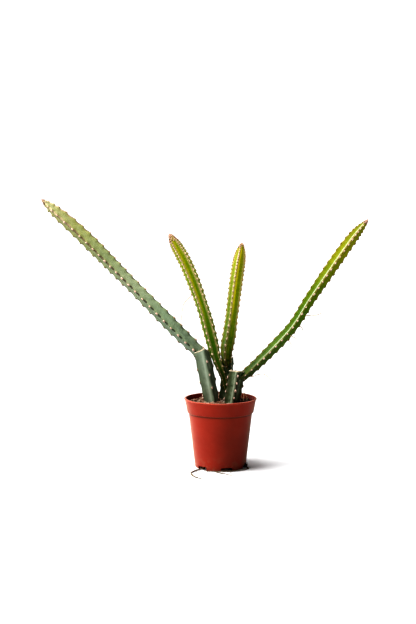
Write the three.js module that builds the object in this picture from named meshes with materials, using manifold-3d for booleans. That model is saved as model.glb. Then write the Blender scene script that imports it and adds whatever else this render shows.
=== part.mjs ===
// Potted queen of the night cactus: three rooted cuttings with four long new stems,
// in a small plastic nursery pot. Millimetres, +Z up, seen from the front along +Y.
// Everything is laid out round the pot's axis, and the whole is centred at the end.
// Points are [to the right, away from the viewer, up].

import * as THREE from "three";
import { mergeVertices } from "three/addons/utils/BufferGeometryUtils.js";
import Module from "manifold-3d";

const wasm = await Module();
wasm.setup();

// The clearance between pieces that stand in one another
const FIT_GAP = 0.3;

// The pot
const POT_HEIGHT = 53;
const RIM_RADIUS = 27.5;
const LIP_HEIGHT = 1.1;
const LIP_OVERHANG = 0.5;
const BAND_HEIGHT = 10.9;
const BAND_FOOT_RADIUS = 25.1;
const BODY_TOP_RADIUS = 24.1;
const BODY_FOOT_RADIUS = 19.7;
const BODY_FOOT_Z = 3.5;
const FOOT_OUTER_RADIUS = 19;
const FOOT_INNER_RADIUS = 17.9;
const FOOT_CHAMFER = 0.6;
const LIP_ROUND = 0.3;
const SHOULDER_DROP = 0.4;
const WALL = 0.9;
const FLOOR_Z = 2.5;
const POT_SIDES = 40;

// The notches in the foot ring, with a drain hole in the floor behind each
const NOTCH_COUNT = 6;
const NOTCH_WIDTH = 8.7;
const NOTCH_DEPTH = 6;
const FIRST_NOTCH_DEG = 13.6;
const DRAIN_RING_RADIUS = 14.3;
const DRAIN_RADIUS = 2.2;
const DRAIN_SIDES = 12;

// The soil
const SOIL_EDGE_Z = 48.8;
const SOIL_MOUND = 1.5;
const SOIL_LUMP = 0.45;
const SOIL_RINGS = 5;
const SOIL_SIDES = 30;
const HOLE_REACH = 1.6;

// Ribs: three corners to a rib, a crest and two in the groove beside it
const CORNERS_PER_RIB = 3;
const CUT_SINK = 1;
const TIP_ROUNDING = 0.8;
const LAST_RING_GAP = 0.35;

// Teeth and areoles shrink where the girth is under the first value, down to the second
const FULL_SIZE_GIRTH = 4;
const SMALLEST_SIZE = 0.6;

// Areoles: a small cushion of wool and short spines, drawn out of each crest tooth
const AREOLE_RADIUS = 0.75;
const AREOLE_HEIGHT = 0.4;
const TIP_AREOLE_REACH = 24;
const TIP_AREOLE_CROWDING = 0.5;

// The cuttings: their axis from below the soil to the cut top, with the share of it
// that is buried. Girth is the crest radius and spacing the step between the teeth of a
// rib, each as [share of the length, size]. Wave is how far the teeth stand out.
const CUTTING_LEFT = {
  path: [[-5.8, -3, 34], [-6.8, -3, 50.5], [-9.8, -2.6, 67], [-14.1, -2, 88.7]],
  ribs: 4, roll: 22, groove: 0.62, spacing: [[0, 10.1]], wave: 0.22, buried: 0.315,
  girth: [[0, 5.4], [0.3, 6.0], [0.75, 6.5], [1, 6.5]], cutTilt: [-0.12, -0.4],
};
const CUTTING_RIGHT = {
  path: [[7.4, -8.5, 35], [8.4, -9, 50], [10.6, -10, 63], [12.3, -10.5, 75.1]],
  ribs: 4, roll: 8, groove: 0.62, spacing: [[0, 5.6]], wave: 0.25, buried: 0.38,
  girth: [[0, 5.4], [0.35, 5.9], [1, 6.1]], cutTilt: [-0.06, -0.15],
};
const CUTTING_BACK = {
  path: [[2.4, 8, 34], [3.2, 8, 50], [4.7, 8, 61], [5.1, 8, 81.5]],
  ribs: 4, roll: 30, groove: 0.62, spacing: [[0, 8]], wave: 0.25, buried: 0.33,
  girth: [[0, 4.9], [0.3, 5.4], [1, 5.6]], cutTilt: [-0.35, -0.1],
};

// The new stems, from inside their cutting out to the tip. Taper is the length scale
// of the pointed tip.
const STEM_LONG_LEFT = {
  path: [[-13.2, 0.6, 84.8], [-17.5, 1.2, 89], [-30.9, 2.4, 102], [-69.6, 6, 141],
    [-108.6, 10, 179.7], [-135.3, 12.6, 202.7]],
  ribs: 4, roll: -15, groove: 0.68, wave: 0.32, taper: 9,
  spacing: [[0, 8.8], [0.12, 7.6], [0.38, 7.8], [0.55, 5.9], [0.7, 6.8], [0.85, 8.4]],
  girth: [[0, 4.7], [0.1, 5.4], [0.2, 5.7], [0.45, 5.15], [0.68, 5.85], [0.85, 5.6], [1, 5.4]],
};
const STEM_LEANING = {
  path: [[4.4, 6, 58.5], [2, 0.2, 69.6], [-2.7, -4.5, 82.5], [-6.7, -6.4, 98.3], [-12.9, -8.5, 121.6],
    [-25.75, -11.5, 156], [-38.1, -13, 178.2]],
  ribs: 5, roll: 42, groove: 0.74, wave: 0.15, taper: 6,
  spacing: [[0.3, 5.6], [0.6, 4.4], [0.8, 3.4]],
  girth: [[0, 2.4], [0.09, 2.6], [0.2, 3.4], [0.3, 4.7], [0.42, 5], [0.55, 4.65], [0.7, 5.1], [1, 5]],
};
const STEM_UPRIGHT = {
  path: [[6, 7.5, 74], [4.4, 3.4, 82], [4.8, 3.2, 90.5], [6.6, 4, 100.5], [12.5, 9, 145.6],
    [16.3, 12.1, 169.7]],
  ribs: 4, roll: -17, groove: 0.66, wave: 0.15, taper: 6,
  spacing: [[0.3, 5], [0.6, 4], [0.8, 3.4]],
  girth: [[0, 2.6], [0.1, 4.2], [0.2, 5.2], [0.3, 5.15], [0.43, 4.8], [0.7, 5.2], [1, 5.2]],
};
const STEM_LONG_RIGHT = {
  path: [[13, -9.4, 69.2], [17.6, -8.8, 71.6], [35.2, -10.5, 88.3], [53.9, -12, 109.2],
    [67.2, -14, 130.9], [97.6, -20, 176.6], [107.8, -22.1, 189]],
  ribs: 4, roll: 3, groove: 0.66, wave: 0.26, taper: 8.5,
  spacing: [[0.3, 6.4], [0.6, 5.6]],
  girth: [[0, 3.7], [0.15, 4.1], [0.28, 4.4], [0.38, 4.05], [0.5, 4.15], [0.65, 4.6], [1, 4.75]],
};

// The roots, from a drain hole out through its notch and along the surface
const ROOT_SIDES = 6;
const ROOT_STEP = 2.2;
const ROOT_LONG = {
  path: [[-10.3, -9.9, 3.1], [-12.2, -11.8, 1.5], [-14.6, -14.4, 0.9], [-18.8, -18.2, 0.65],
    [-21.9, -25, 0.6], [-21.4, -33, 0.55], [-17.8, -41, 0.5], [-12.9, -46, 0.45]],
  girth: [[0, 0.5], [0.7, 0.45], [1, 0.2]],
};
const ROOT_FRONT = {
  path: [[13.7, -4, 3.1], [16.2, -4.8, 1.3], [19.5, -6.4, 0.7], [21.2, -10.4, 0.5],
    [15.6, -16.6, 0.5], [7, -20.4, 0.5], [-2.6, -21.2, 0.5], [-9, -19.6, 0.5], [-12.4, -17.4, 0.5]],
  girth: [[0, 0.45], [0.8, 0.35], [1, 0.2]],
};
const ROOT_BRANCH = {
  path: [[-4.6, -21.1, 0.5], [-2.2, -24.4, 0.45], [2.4, -27.8, 0.4], [7.6, -34, 0.35], [10.6, -38.4, 0.3]],
  girth: [[0, 0.3], [1, 0.15]],
};

const COLOURS = {
  pot: 0xc4492f,
  soil: 0x5a3a26,
  plantLeft: 0x8a9a72,
  plantRight: 0x6f8a4a,
  plantBack: 0x7f8f2c,
  root: 0xa08a62,
};

// A closed mesh becomes a solid once its shared corners are one
function toSolid(geometry) {
  const bare = geometry.clone();
  bare.deleteAttribute("normal");
  bare.deleteAttribute("uv");
  const merged = mergeVertices(bare, 1e-4);
  return new wasm.Manifold(new wasm.Mesh({
    numProp: 3,
    vertProperties: new Float32Array(merged.attributes.position.array),
    triVerts: new Uint32Array(merged.index.array),
  }));
}

function toGeometry(solid) {
  const mesh = solid.getMesh();
  const geometry = new THREE.BufferGeometry();
  geometry.setAttribute("position", new THREE.BufferAttribute(mesh.vertProperties, 3));
  geometry.setIndex(new THREE.BufferAttribute(mesh.triVerts, 1));
  geometry.computeVertexNormals();
  return geometry;
}

function namedMesh(name, solid, colour, roughness) {
  const material = new THREE.MeshStandardMaterial({ color: colour, roughness, metalness: 0 });
  const mesh = new THREE.Mesh(toGeometry(solid), material);
  mesh.name = name;
  return mesh;
}

function joinAll(solids) {
  return solids.reduce((joined, solid) => joined.add(solid));
}

// A profile of [radius, height] turned round the +Z axis
function turned(profile, sides) {
  const points = profile.map(([radius, z]) => new THREE.Vector2(radius, z));
  return new THREE.LatheGeometry(points, sides).rotateX(Math.PI / 2);
}

// The value at a share of the length, from a short list of [share, value]
function readAlong(stations, share) {
  if (share <= stations[0][0]) {
    return stations[0][1];
  }
  for (let i = 1; i < stations.length; i += 1) {
    const [from, low] = stations[i - 1];
    const [to, high] = stations[i];
    if (share <= to) {
      return THREE.MathUtils.lerp(low, high, (share - from) / (to - from));
    }
  }
  return stations[stations.length - 1][1];
}

function curveThrough(path) {
  return new THREE.CatmullRomCurve3(path.map((point) => new THREE.Vector3(...point)), false, "centripetal");
}

// The middle of the stem at a distance, and its forward, front and side directions
function frameAt(curve, length, distance) {
  const share = THREE.MathUtils.clamp(distance / length, 0, 1);
  const along = curve.getTangentAt(share);
  const front = new THREE.Vector3(0, -1, 0);
  front.addScaledVector(along, -front.dot(along)).normalize();
  const side = new THREE.Vector3().crossVectors(along, front);
  return { centre: curve.getPointAt(share), along, front, side };
}

function outward(frame, angle) {
  return new THREE.Vector3()
    .addScaledVector(frame.front, Math.cos(angle))
    .addScaledVector(frame.side, Math.sin(angle));
}

// Rings of corners joined into a closed skin, with a middle point at either end
function skinOf(rings, startPoint, endPoint) {
  const sides = rings[0].length;
  const start = rings.length * sides;
  const end = start + 1;
  const last = (rings.length - 1) * sides;
  const triangles = [];
  for (let corner = 0; corner < sides; corner += 1) {
    const next = (corner + 1) % sides;
    triangles.push([start, next, corner]);
    triangles.push([end, last + corner, last + next]);
    for (let ring = 0; ring < last; ring += sides) {
      triangles.push([ring + corner, ring + next, ring + sides + corner]);
      triangles.push([ring + next, ring + sides + next, ring + sides + corner]);
    }
  }
  return { points: [...rings.flat(), startPoint, endPoint], triangles };
}

// Cuts the skin open round a corner, at a small radius, and draws the corner outwards
function drawOut(skin, corner, direction, radius, height) {
  const { points } = skin;
  const middle = points[corner].clone();
  const rim = new Map();
  const rimPoint = (neighbour) => {
    if (!rim.has(neighbour)) {
      const arm = points[neighbour].clone().sub(middle).setLength(radius);
      rim.set(neighbour, points.push(arm.add(middle)) - 1);
    }
    return rim.get(neighbour);
  };
  skin.triangles = skin.triangles.flatMap((triangle) => {
    const at = triangle.indexOf(corner);
    if (at < 0) {
      return [triangle];
    }
    const [a, b] = [triangle[(at + 1) % 3], triangle[(at + 2) % 3]];
    const [rimA, rimB] = [rimPoint(a), rimPoint(b)];
    return [[corner, rimA, rimB], [rimA, a, b], [rimA, b, rimB]];
  });
  points[corner].addScaledVector(direction, height);
}

function skinSolid(skin) {
  const geometry = new THREE.BufferGeometry();
  geometry.setAttribute("position", new THREE.Float32BufferAttribute(
    skin.points.flatMap((point) => point.toArray()), 3));
  geometry.setIndex(skin.triangles.flat());
  return toSolid(geometry);
}

// The distances of the rings: two to a tooth, closer together towards a growing tip
function ringDistances(stem, length) {
  const first = length * (stem.buried ?? 0);
  const distances = [];
  let distance = first;
  while (distance < length - readAlong(stem.spacing, 1) * LAST_RING_GAP) {
    distances.push(distance);
    const crowding = stem.taper
      ? THREE.MathUtils.clamp((length - distance) / TIP_AREOLE_REACH, TIP_AREOLE_CROWDING, 1)
      : 1;
    distance += 0.5 * readAlong(stem.spacing, distance / length) * crowding;
  }
  return distances;
}

function girthAt(stem, length, distance) {
  const girth = readAlong(stem.girth, distance / length);
  if (!stem.taper) {
    return girth;
  }
  return girth * (1 - Math.exp(-(length - distance + TIP_ROUNDING) / stem.taper));
}

function sizeFor(girth) {
  return THREE.MathUtils.clamp(girth / FULL_SIZE_GIRTH, SMALLEST_SIZE, 1);
}

// Teeth stand on every other ring, and neighbouring ribs take turns
function isTooth(rib, ring) {
  return (rib + ring) % 2 === 0;
}

function crestAngle(stem, rib) {
  return THREE.MathUtils.degToRad(stem.roll) + rib * 2 * Math.PI / stem.ribs;
}

function stemRing(stem, frame, girth, wave) {
  const corners = [];
  for (let rib = 0; rib < stem.ribs; rib += 1) {
    for (let corner = 0; corner < CORNERS_PER_RIB; corner += 1) {
      const angle = crestAngle(stem, rib + corner / CORNERS_PER_RIB);
      const radius = corner === 0 ? girth + wave(rib) : girth * stem.groove;
      corners.push(frame.centre.clone().addScaledVector(outward(frame, angle), radius));
    }
  }
  return corners;
}

// The buried end of a cutting is plain, with its rings starting at the soil
function stemRings(stem, curve, length) {
  const rings = ringDistances(stem, length).map((distance, ring) => {
    const frame = frameAt(curve, length, distance);
    const girth = girthAt(stem, length, distance);
    const size = sizeFor(girth);
    const wave = stem.wave * size;
    return {
      frame,
      size,
      hasAreoles: ring > 0,
      corners: stemRing(stem, frame, girth, (rib) => (isTooth(rib, ring) ? wave : -wave)),
    };
  });
  if (stem.buried) {
    const frame = frameAt(curve, length, 0);
    const corners = stemRing(stem, frame, girthAt(stem, length, 0), () => -stem.wave);
    rings.unshift({ frame, hasAreoles: false, corners });
  }
  return rings;
}

// The cut face of a cutting: a tilted last ring round a sunken middle
function cutRing(stem, curve, length) {
  const frame = frameAt(curve, length, length);
  const corners = stemRing(stem, frame, girthAt(stem, length, length), () => 0);
  const [tiltSide, tiltFront] = stem.cutTilt;
  for (const corner of corners) {
    const arm = corner.clone().sub(frame.centre);
    const drop = tiltSide * arm.dot(frame.side) + tiltFront * arm.dot(frame.front);
    corner.addScaledVector(frame.along, -drop);
  }
  return { frame, hasAreoles: false, corners };
}

function stemBody(stem) {
  const curve = curveThrough(stem.path);
  const length = curve.getLength();
  const rings = stemRings(stem, curve, length);
  const firstTooth = stem.buried ? 1 : 0;
  const end = curve.getPointAt(1);
  if (stem.cutTilt) {
    rings.push(cutRing(stem, curve, length));
    end.addScaledVector(rings.at(-1).frame.along, -CUT_SINK);
  }
  const skin = skinOf(rings.map((ring) => ring.corners), curve.getPointAt(0), end);
  rings.forEach(({ frame, size, hasAreoles }, ring) => {
    for (let rib = 0; rib < stem.ribs; rib += 1) {
      if (hasAreoles && isTooth(rib, ring - firstTooth)) {
        const corner = (ring * stem.ribs + rib) * CORNERS_PER_RIB;
        const direction = outward(frame, crestAngle(stem, rib));
        drawOut(skin, corner, direction, AREOLE_RADIUS * size, AREOLE_HEIGHT * size);
      }
    }
  });
  return skinSolid(skin);
}

function plant(cutting, stems) {
  return joinAll([cutting, ...stems].map(stemBody));
}

// A plain hole round a cutting's buried length, open at the top of the soil
function plantingHole(cutting) {
  const curve = curveThrough(cutting.path);
  const length = curve.getLength();
  const shares = [0, cutting.buried, HOLE_REACH * cutting.buried];
  const frames = shares.map((share) => frameAt(curve, length, share * length));
  frames[0].centre.addScaledVector(frames[0].along, -FIT_GAP);
  const round = { ...cutting, groove: 1 };
  const rings = frames.map((frame, i) => {
    const radius = girthAt(cutting, length, shares[i] * length) + cutting.wave + 2 * FIT_GAP;
    return stemRing(round, frame, radius, () => 0);
  });
  return skinSolid(skinOf(rings, frames[0].centre, frames[2].centre));
}

// The inside of the pot's wall, from the floor's edge to the lip
function insideProfile() {
  return [
    [BODY_FOOT_RADIUS - 2 * WALL, FLOOR_Z + WALL],
    [BODY_FOOT_RADIUS - WALL, FLOOR_Z + 2 * WALL],
    [BODY_TOP_RADIUS - WALL, POT_HEIGHT - BAND_HEIGHT - SHOULDER_DROP],
    [BAND_FOOT_RADIUS - WALL, POT_HEIGHT - BAND_HEIGHT + SHOULDER_DROP],
    [RIM_RADIUS - LIP_OVERHANG - WALL, POT_HEIGHT - LIP_ROUND],
  ];
}

function potWall() {
  const bandZ = POT_HEIGHT - BAND_HEIGHT;
  const lipZ = POT_HEIGHT - LIP_HEIGHT;
  return turned([
    [0, FLOOR_Z],
    [FOOT_INNER_RADIUS - LIP_ROUND, FLOOR_Z],
    [FOOT_INNER_RADIUS, 0],
    [FOOT_OUTER_RADIUS, 0],
    [FOOT_OUTER_RADIUS + 0.5 * FOOT_CHAMFER, FOOT_CHAMFER],
    [BODY_FOOT_RADIUS, BODY_FOOT_Z],
    [BODY_TOP_RADIUS, bandZ - 0.5 * SHOULDER_DROP],
    [BAND_FOOT_RADIUS, bandZ],
    [RIM_RADIUS - LIP_OVERHANG, lipZ - LIP_ROUND],
    [RIM_RADIUS, lipZ + LIP_ROUND],
    [RIM_RADIUS, POT_HEIGHT - LIP_ROUND],
    [RIM_RADIUS - LIP_ROUND, POT_HEIGHT],
    [RIM_RADIUS - LIP_OVERHANG - WALL + LIP_ROUND, POT_HEIGHT],
    ...insideProfile().reverse(),
    [0, FLOOR_Z + WALL],
  ], POT_SIDES);
}

function pot() {
  let solid = toSolid(potWall());
  for (let i = 0; i < NOTCH_COUNT; i += 1) {
    const turn = THREE.MathUtils.degToRad(FIRST_NOTCH_DEG - 90 + i * 360 / NOTCH_COUNT);
    const notch = new THREE.BoxGeometry(NOTCH_DEPTH, NOTCH_WIDTH, 2 * FLOOR_Z);
    notch.translate(FOOT_OUTER_RADIUS, 0, 0).rotateZ(turn);
    const drain = new THREE.CylinderGeometry(DRAIN_RADIUS, DRAIN_RADIUS, 4 * WALL, DRAIN_SIDES);
    drain.rotateX(Math.PI / 2).translate(DRAIN_RING_RADIUS, 0, FLOOR_Z + 0.5 * WALL).rotateZ(turn);
    solid = solid.subtract(toSolid(notch)).subtract(toSolid(drain));
  }
  return solid;
}

function soilHeight(x, y) {
  const reach = Math.hypot(x, y) / RIM_RADIUS;
  const lumps = Math.sin(0.62 * x + 1.3) * Math.cos(0.55 * y - 0.4) + 0.6 * Math.sin(0.9 * y - 0.7 * x);
  return SOIL_EDGE_Z + SOIL_MOUND * (1 - reach * reach) + SOIL_LUMP * lumps;
}

// The soil stands clear of the wall all round, with a mounded, lumpy top
function soil() {
  const inside = insideProfile();
  const [bandRadius, bandZ] = inside[3];
  const [mouthRadius, mouthZ] = inside[4];
  const share = (SOIL_EDGE_Z - bandZ) / (mouthZ - bandZ);
  const edgeRadius = THREE.MathUtils.lerp(bandRadius, mouthRadius, share) - 2 * FIT_GAP;
  const bottomZ = FLOOR_Z + WALL + FIT_GAP;
  const profile = [[0, bottomZ], [inside[0][0] - FIT_GAP, bottomZ]];
  profile.push(...inside.slice(1, 4).map(([radius, z]) => [radius - 1.2 * FIT_GAP, z]));
  const topStart = profile.length;
  for (let ring = SOIL_RINGS; ring >= 0; ring -= 1) {
    profile.push([edgeRadius * ring / SOIL_RINGS, SOIL_EDGE_Z]);
  }
  const body = turned(profile, SOIL_SIDES);
  const place = body.attributes.position;
  for (let i = 0; i < place.count; i += 1) {
    if (i % profile.length >= topStart) {
      place.setZ(i, soilHeight(place.getX(i), place.getY(i)));
    }
  }
  return [CUTTING_LEFT, CUTTING_RIGHT, CUTTING_BACK]
    .map(plantingHole)
    .reduce((left, hole) => left.subtract(hole), toSolid(body));
}

function rootBody(root) {
  const curve = curveThrough(root.path);
  const length = curve.getLength();
  const steps = Math.round(length / ROOT_STEP);
  const rings = [];
  for (let step = 0; step <= steps; step += 1) {
    const frame = frameAt(curve, length, length * step / steps);
    const radius = readAlong(root.girth, step / steps);
    const ring = [];
    for (let corner = 0; corner < ROOT_SIDES; corner += 1) {
      const angle = 2 * Math.PI * corner / ROOT_SIDES;
      ring.push(frame.centre.clone().addScaledVector(outward(frame, angle), radius));
    }
    rings.push(ring);
  }
  return skinSolid(skinOf(rings, curve.getPointAt(0), curve.getPointAt(1)));
}

const pottedCactus = new THREE.Group();
pottedCactus.add(
  namedMesh("pot", pot(), COLOURS.pot, 0.5),
  namedMesh("soil", soil(), COLOURS.soil, 0.95),
  namedMesh("plant_left", plant(CUTTING_LEFT, [STEM_LONG_LEFT]), COLOURS.plantLeft, 0.5),
  namedMesh("plant_right", plant(CUTTING_RIGHT, [STEM_LONG_RIGHT]), COLOURS.plantRight, 0.45),
  namedMesh("plant_back", plant(CUTTING_BACK, [STEM_LEANING, STEM_UPRIGHT]), COLOURS.plantBack, 0.45),
  namedMesh("root_long", rootBody(ROOT_LONG), COLOURS.root, 0.8),
  namedMesh("root_front", joinAll([rootBody(ROOT_FRONT), rootBody(ROOT_BRANCH)]), COLOURS.root, 0.8),
);

// The origin is under the middle of the whole, on the surface that the pot stands on
const bounds = new THREE.Box3().setFromObject(pottedCactus);
const middle = bounds.getCenter(new THREE.Vector3());
pottedCactus.position.set(-middle.x, -middle.y, -bounds.min.z);

export default pottedCactus;
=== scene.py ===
# Potted queen of the night cactus: three rooted cuttings with four long new stems, in a
# small plastic nursery pot. Metres, +Z up, seen from the front along +Y. Places are given
# from the foot of the pot's axis: to the right, away from the viewer, up.

import math
import random

import bpy
import numpy as np
from mathutils import Matrix, Vector, noise


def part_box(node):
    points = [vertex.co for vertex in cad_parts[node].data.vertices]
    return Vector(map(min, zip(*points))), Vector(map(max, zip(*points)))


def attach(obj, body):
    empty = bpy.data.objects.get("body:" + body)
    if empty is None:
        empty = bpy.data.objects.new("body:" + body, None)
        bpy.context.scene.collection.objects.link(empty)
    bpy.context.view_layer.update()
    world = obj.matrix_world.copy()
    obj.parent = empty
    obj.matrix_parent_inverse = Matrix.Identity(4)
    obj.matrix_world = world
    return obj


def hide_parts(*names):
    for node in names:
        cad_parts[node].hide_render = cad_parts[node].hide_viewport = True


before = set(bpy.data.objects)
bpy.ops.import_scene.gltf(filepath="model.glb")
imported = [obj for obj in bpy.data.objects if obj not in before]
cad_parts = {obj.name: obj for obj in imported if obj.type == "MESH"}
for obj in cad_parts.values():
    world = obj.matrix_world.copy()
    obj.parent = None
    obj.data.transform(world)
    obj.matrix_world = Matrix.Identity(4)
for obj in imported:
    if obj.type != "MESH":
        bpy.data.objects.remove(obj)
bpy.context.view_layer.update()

POT_LOW, POT_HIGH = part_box("pot")
AXIS = Vector(((POT_LOW.x + POT_HIGH.x) / 2, (POT_LOW.y + POT_HIGH.y) / 2, 0))

# The view of the photograph
LENS = 85
SENSOR = 36
VIEW_PITCH = math.radians(6.5)
VIEW_DISTANCE = 1.113
VIEW_AIM = Vector((-0.0095, 0, 0.1185))

# The studio: broad lights as (place, strength, width), soft-edged spots on the stems above
# the pot as (place, strength, cone in degrees), and a world that is brightest behind the plant
BROAD_AIM = (0, 0, 0.1)
BROAD_LIGHTS = {
    "key": ((-1.05, -0.3, 0.75), 16, 0.7),
    "rim": ((-0.9, 0.7, 0.3), 5, 0.7),
    "overhead": ((-0.3, -0.1, 1.2), 13, 0.6),
}
SPOT_AIM = (0, 0, 0.255)
SPOT_SIZE = 0.04
SPOT_BLEND = 0.5
SPOTS = {
    "front_spot": ((-0.3, -1.25, 0.7), 17, 19),
    "right_spot": ((1.1, -0.6, 0.1), 25, 20),
    "low_spot": ((-0.9, -0.8, 0.04), 9, 21),
}
WORLD_FRONT = 0.02
WORLD_BEHIND = 0.3
FLOOR_SIZE = 8
FLOOR_FADE = (0.03, 0.16)
FLOOR_GREYS = ((0.3, 0.3, 0.3), (0.9, 0.9, 0.9))

# The pot
POT_HEIGHT = 0.053
RIM_RADIUS = 0.0275
LIP_HEIGHT = 0.0011
LIP_OVERHANG = 0.0005
LIP_CHAMFER = 0.0002
BAND_HEIGHT = 0.0109
BAND_FOOT_RADIUS = 0.0251
BODY_TOP_RADIUS = 0.0241
BODY_FOOT_RADIUS = 0.0197
BODY_FOOT_Z = 0.0035
FOOT_OUTER_RADIUS = 0.019
FOOT_INNER_RADIUS = 0.0179
FOOT_DRAFT = 0.0003
FOOT_CHAMFER = 0.0006
SHOULDER_DROP = 0.0004
# A painted shadow line just under the band's step: its height and how far it reaches each way
BAND_SHADOW_Z = POT_HEIGHT - BAND_HEIGHT - SHOULDER_DROP - 0.0003
BAND_SHADOW_REACH = (0.0004, 0.0009)
DUST_TOP = 0.012
WALL = 0.0009
RIM_INNER_RADIUS = RIM_RADIUS - LIP_OVERHANG - WALL
FLOOR_Z = 0.0025
POT_STEPS = 144

# How far the thin lip is out of true: its dips, and the share by which the rim is oval
LIP_DIP = 0.00012
LIP_DIP_REACH = 0.002
RIM_OVAL = 0.002

# The notches in the foot ring, with a drain hole in the floor behind each
NOTCH_COUNT = 6
NOTCH_WIDTH = 0.0087
NOTCH_DEPTH = 0.006
NOTCH_ROUNDING = 0.0005
FIRST_NOTCH = math.radians(13.6 - 90)
DRAIN_RING_RADIUS = 0.0143
DRAIN_RADIUS = 0.0022

# The soil, with its lumps and grain as (size, height), and what is strewn on it
SOIL_EDGE_Z = 0.0488
SOIL_MOUND = 0.0015
SOIL_LUMP = 0.00045
SOIL_GRAINS = [(0.0032, 0.00055), (0.0011, 0.0003)]
SOIL_GAP = 0.0004
SOIL_BOTTOM_Z = 0.0037
SOIL_SIDES = 180
SOIL_RINGS = 80
STREWN_KINDS = 6
CRUMB_SEED = 70
CRUMB_JAG = (0.65, 1.15)
CRUMB_FLAT = 0.75
CRUMB_COUNT = 1500
CRUMB_SIZES = (0.0003, 0.0013)
CHIP_SEED = 90
CHIP_LONG = (1.4, 2.4)
CHIP_WIDE = (0.6, 1.0)
CHIP_THICK = 0.35
CHIP_JAG = 0.18
CHIP_COUNT = 70
CHIP_SIZES = (0.0006, 0.0014)
STREWN_RISE = 0.3
STREWN_TILT = 0.6
CUTTING_CLEARANCE = 0.86
FIBRE_COUNT = 110
FIBRE_REACH = 0.022
FIBRE_POINTS = 4
FIBRE_STRIDES = (0.0008, 0.002)
FIBRE_LIFTS = (0.0002, 0.0009)
FIBRE_GIRTHS = (0.00006, 0.00012)
FIBRE_STEP = 0.0009
ANY_TURN = (0, 6.28)

# Ribs and their teeth
RING_STEP = 0.00045
COLUMNS_PER_RIB = 16
COLUMN_CROWDING = 1.3
CREST_ROUND = 0.1
RIB_SHARPNESS = 2.5
TOOTH_FALL = 0.66
TOOTH_REACH = 0.5
LAST_TOOTH_SHARE = 0.35
TIP_ROUNDING = 0.0008
TIP_CAP = 0.0011
SKIN_LUMPS = [(0.0035, 0.00014), (0.0009, 0.00003)]

# The cut top of a cutting: how deep its face sinks, how far down the cut's slope reaches, its
# corky rim, and the face from its rim to its middle as (share of the girth, share of the sink)
CUT_SINK = 0.001
CUT_REACH = 0.004
CUT_FADE = 0.002
CUT_RIM = 0.0009
CUT_RIM_SHARE = 0.12
CUT_FACE = [(0.97, -0.1), (0.92, 0.15), (0.84, 0.5), (0.7, 0.75), (0.55, 0.8), (0.42, 0.65),
            (0.34, 0.5), (0.26, 0.6), (0.15, 0.75), (0, 0.8)]

# What is noted on the skin for its finish. Reaches are shares of the way from a crest to the
# groove. The dark lens below each areole is a share of the gap to the next, along the stem.
CREST_REACH = 0.38
EDGE_REACH = 0.1
# Where the painted sheen along the grooves reaches
GROOVE_REACH = 0.4
# How the painted highlight line fades in, as a share of the length
PAINTED_HIGHLIGHT_FADE = 0.2
SCAR_REACH = 0.16
SCAR_DROP = 0.0004
SCAR_HALF_LENGTH = 0.00055
DASH_MIDDLE = [(0, 0.68), (0.5, 0.6), (0.9, 0.5)]
DASH_HALF_LENGTH = [(0, 0.17), (0.4, 0.22), (0.6, 0.32), (0.9, 0.42)]
DASH_HALF_WIDTH = 0.0008

# Areoles: a small cushion of wool with short bristles, smaller and closer on a thin tip
AREOLE_KINDS = 5
AREOLE_SEED = 40
AREOLE_RADIUS = 0.00072
AREOLE_HEIGHT = 0.00042
AREOLE_LONG = 1.25
AREOLE_NARROW = 0.85
AREOLE_SINK = 0.0001
AREOLE_SPIN = 0.25
AREOLE_SIZES = (0.85, 1.15)
CUSHION_JAG = (0.84, 1.12)
CUSHION_FOOT = -0.25
BRISTLES = 4
BRISTLE_LENGTH = 0.0006
BRISTLE_LENGTH_SHARES = (0.65, 1.15)
BRISTLE_LEAN = (18, 62)
BRISTLE_TURN = 0.4
BRISTLE_RADIUS = 0.00006
BRISTLE_LIFT = 0.0002
FULL_SIZE_GIRTH = 0.004
SMALLEST_SIZE = 0.6
PADS = [(0, 1), (1, 1.05)]
TIP_AREOLE_REACH = 0.024
TIP_AREOLE_CROWDING = 0.5
SCALE_TURN = 2.4
SCALE_SINK = 0.88
SCALE_SIZES = (0.8, 1.2)
SCALE_START = 0.0001
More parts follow.
